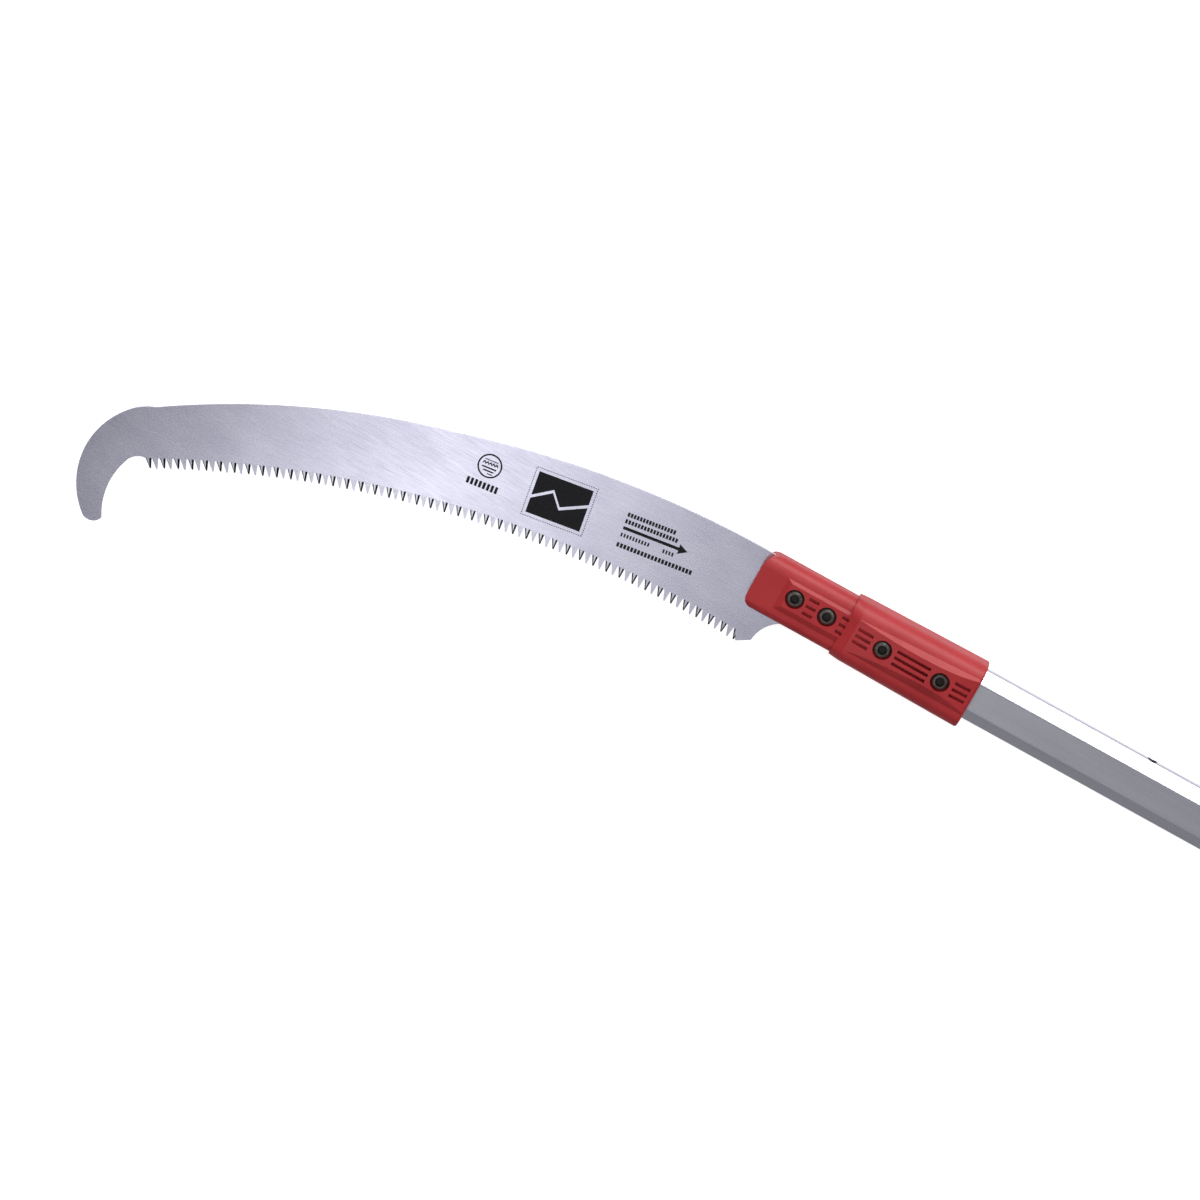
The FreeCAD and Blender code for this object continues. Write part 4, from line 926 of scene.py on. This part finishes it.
def rectangle_tree():
    """Copies of a form along a rectangle's edges."""
    tree = Tree("dots_round_a_block", REPEAT_INPUTS + (
        ("Width", "NodeSocketFloat"), ("Height", "NodeSocketFloat"),
        ("Centre", "NodeSocketVector"), ("Turn", "NodeSocketVector"),
    ))
    edges = tree.add("GeometryNodeCurvePrimitiveQuadrilateral")
    tree.link(tree.given("Width"), edges.inputs["Width"])
    tree.link(tree.given("Height"), edges.inputs["Height"])
    points = tree.add("GeometryNodeResampleCurve")
    tree.link(edges.outputs["Curve"], points.inputs["Curve"])
    tree.link(tree.given("Count"), points.inputs["Count"])
    move = tree.add("GeometryNodeTransform")
    tree.link(tree.copies(points.outputs["Curve"]), move.inputs["Geometry"])
    tree.link(tree.given("Centre"), move.inputs["Translation"])
    tree.link(tree.given("Turn"), move.inputs["Rotation"])
    tree.close(move.outputs["Geometry"])
    return tree


def print_dotted_frame():
    """Fine dots round the block."""
    gap, dot, pitch = 2.0, 0.6, 1.35
    half_width, half_height = BLOCK_HALF_WIDTH + gap, BLOCK_HALF_HEIGHT + gap
    grow("dotted_frame_print", rectangle_tree(), {
        "Form": tile_form("dot_form", dot, dot, 0.0),
        "Count": round(4 * (half_width + half_height) / pitch), "Material": ink,
        "Width": 2 * half_width * MM, "Height": 2 * half_height * MM,
        "Centre": BLOCK_SIGN.at(0, 0) + INK_LEVEL, "Turn": (0.0, 0.0, BLOCK_SIGN.tilt),
    }, "upper_pole")


print_ring()
print_arrow()
print_rows()
print_block()
print_dotted_frame()


# ---- floor, light and camera ----------------------------------------------------------

VIEW_TILT = math.radians(15.5)
VIEW_ROLL = math.radians(28.92)
FRAME_WIDTH = 684 * MM  # across the picture, at the blade
CAMERA_DISTANCE = 2.9


def add_floor():
    """A white table that glows a little, so that it stays clean white."""
    half = 30.0
    corners = [(-half, -half, 0), (half, -half, 0), (half, half, 0), (-half, half, 0)]
    mesh = bpy.data.meshes.new("floor")
    mesh.from_pydata(corners, [], [(0, 1, 2, 3)])
    floor = bpy.data.objects.new("floor", mesh)
    bpy.context.scene.collection.objects.link(floor)
    finish = Finish("pale_floor", 0.0, 0.9)
    finish.surface.inputs["Base Color"].default_value = (0.92, 0.92, 0.92, 1)
    finish.surface.inputs["Specular IOR Level"].default_value = 0.0
    finish.surface.inputs["Emission Color"].default_value = (1, 1, 1, 1)
    finish.surface.inputs["Emission Strength"].default_value = 0.6
    mesh.materials.append(finish.material)
    floor.visible_glossy = False


def add_soft_light(name, place, target, width, depth, brightness, in_reflections=True):
    """A rectangular soft box; brightness is its radiance, as the world's colour is."""
    light = bpy.data.lights.new(name, "AREA")
    light.shape = "RECTANGLE"
    light.size = width
    light.size_y = depth
    light.energy = brightness * math.pi * width * depth
    item = bpy.data.objects.new(name, light)
    item.location = place
    item.rotation_euler = (target - place).to_track_quat("-Z", "Y").to_euler()
    item.visible_glossy = in_reflections
    bpy.context.scene.collection.objects.link(item)


def add_world():
    """Studio grey overhead, darker round the horizon, and a bright sweep underneath."""
    world = bpy.data.worlds.new("studio")
    world.use_nodes = True
    bpy.context.scene.world = world
    nodes = Nodes(world.node_tree)
    coordinates = nodes.add("ShaderNodeTexCoord")
    split = nodes.add("ShaderNodeSeparateXYZ")
    nodes.link(coordinates.outputs["Generated"], split.inputs["Vector"])
    height = nodes.add("ShaderNodeMapRange")
    height.inputs["From Min"].default_value = -1.0
    nodes.link(split.outputs["Z"], height.inputs["Value"])
    greys = ((0.0, 0.95), (0.14, 0.75), (0.34, 0.20), (0.55, 0.20), (0.80, 0.25), (1.0, 0.28))
    stops = [(position, (grey, grey, grey * 1.04)) for position, grey in greys]
    colour = nodes.ramp(height.outputs["Result"], stops)
    nodes.link(colour, nodes.tree.nodes["Background"].inputs["Color"])


def add_lights():
    """Two narrow soft boxes over the blade, a long one on the spine's side, and a wash."""
    middle = at_pole(205, -45)
    heel = middle + Vector((0.226, 0, 0))
    overhead = Vector((0, -0.31, 1.15))
    add_soft_light("over_blade", middle + Vector((-0.025, 0, 0)) + overhead, middle, 0.22, 0.6, 1.7)
    add_soft_light("over_heel", heel + overhead, heel, 0.12, 0.6, 0.55)
    side_target = at_pole(-150, 0)
    add_soft_light("spine_side", side_target + Vector((0.0, 2.2, 0.78)), side_target, 3.4, 1.1, 4.2)
    add_soft_light("room_wash", middle + Vector((0.3, 1.7, 3.0)), middle, 4.0, 4.0, 2.2, False)


def add_camera():
    """Looks down on the saw, tilted to the spine's side and rolled, with a long lens."""
    across = Vector((0, math.cos(VIEW_TILT), -math.sin(VIEW_TILT)))
    back = Vector((0, math.sin(VIEW_TILT), math.cos(VIEW_TILT)))
    along = Vector((1, 0, 0))
    right = along * math.cos(VIEW_ROLL) + across * math.sin(VIEW_ROLL)
    up = across * math.cos(VIEW_ROLL) - along * math.sin(VIEW_ROLL)
    # The picture's middle lies on the blade's plane, in front of the head and below the pole.
    target = at_pole(70.8, -58.7)
    place = target + back * CAMERA_DISTANCE
    camera = bpy.data.cameras.new("camera")
    camera.lens = camera.sensor_width * CAMERA_DISTANCE / FRAME_WIDTH
    camera.clip_end = 100
    item = bpy.data.objects.new("camera", camera)
    turn = Matrix((right, up, back)).transposed().to_4x4()
    item.matrix_world = Matrix.Translation(place) @ turn
    bpy.context.scene.collection.objects.link(item)
    bpy.context.scene.camera = item


add_floor()
add_world()
add_lights()
add_camera()
bpy.context.scene.view_settings.view_transform = "Standard"
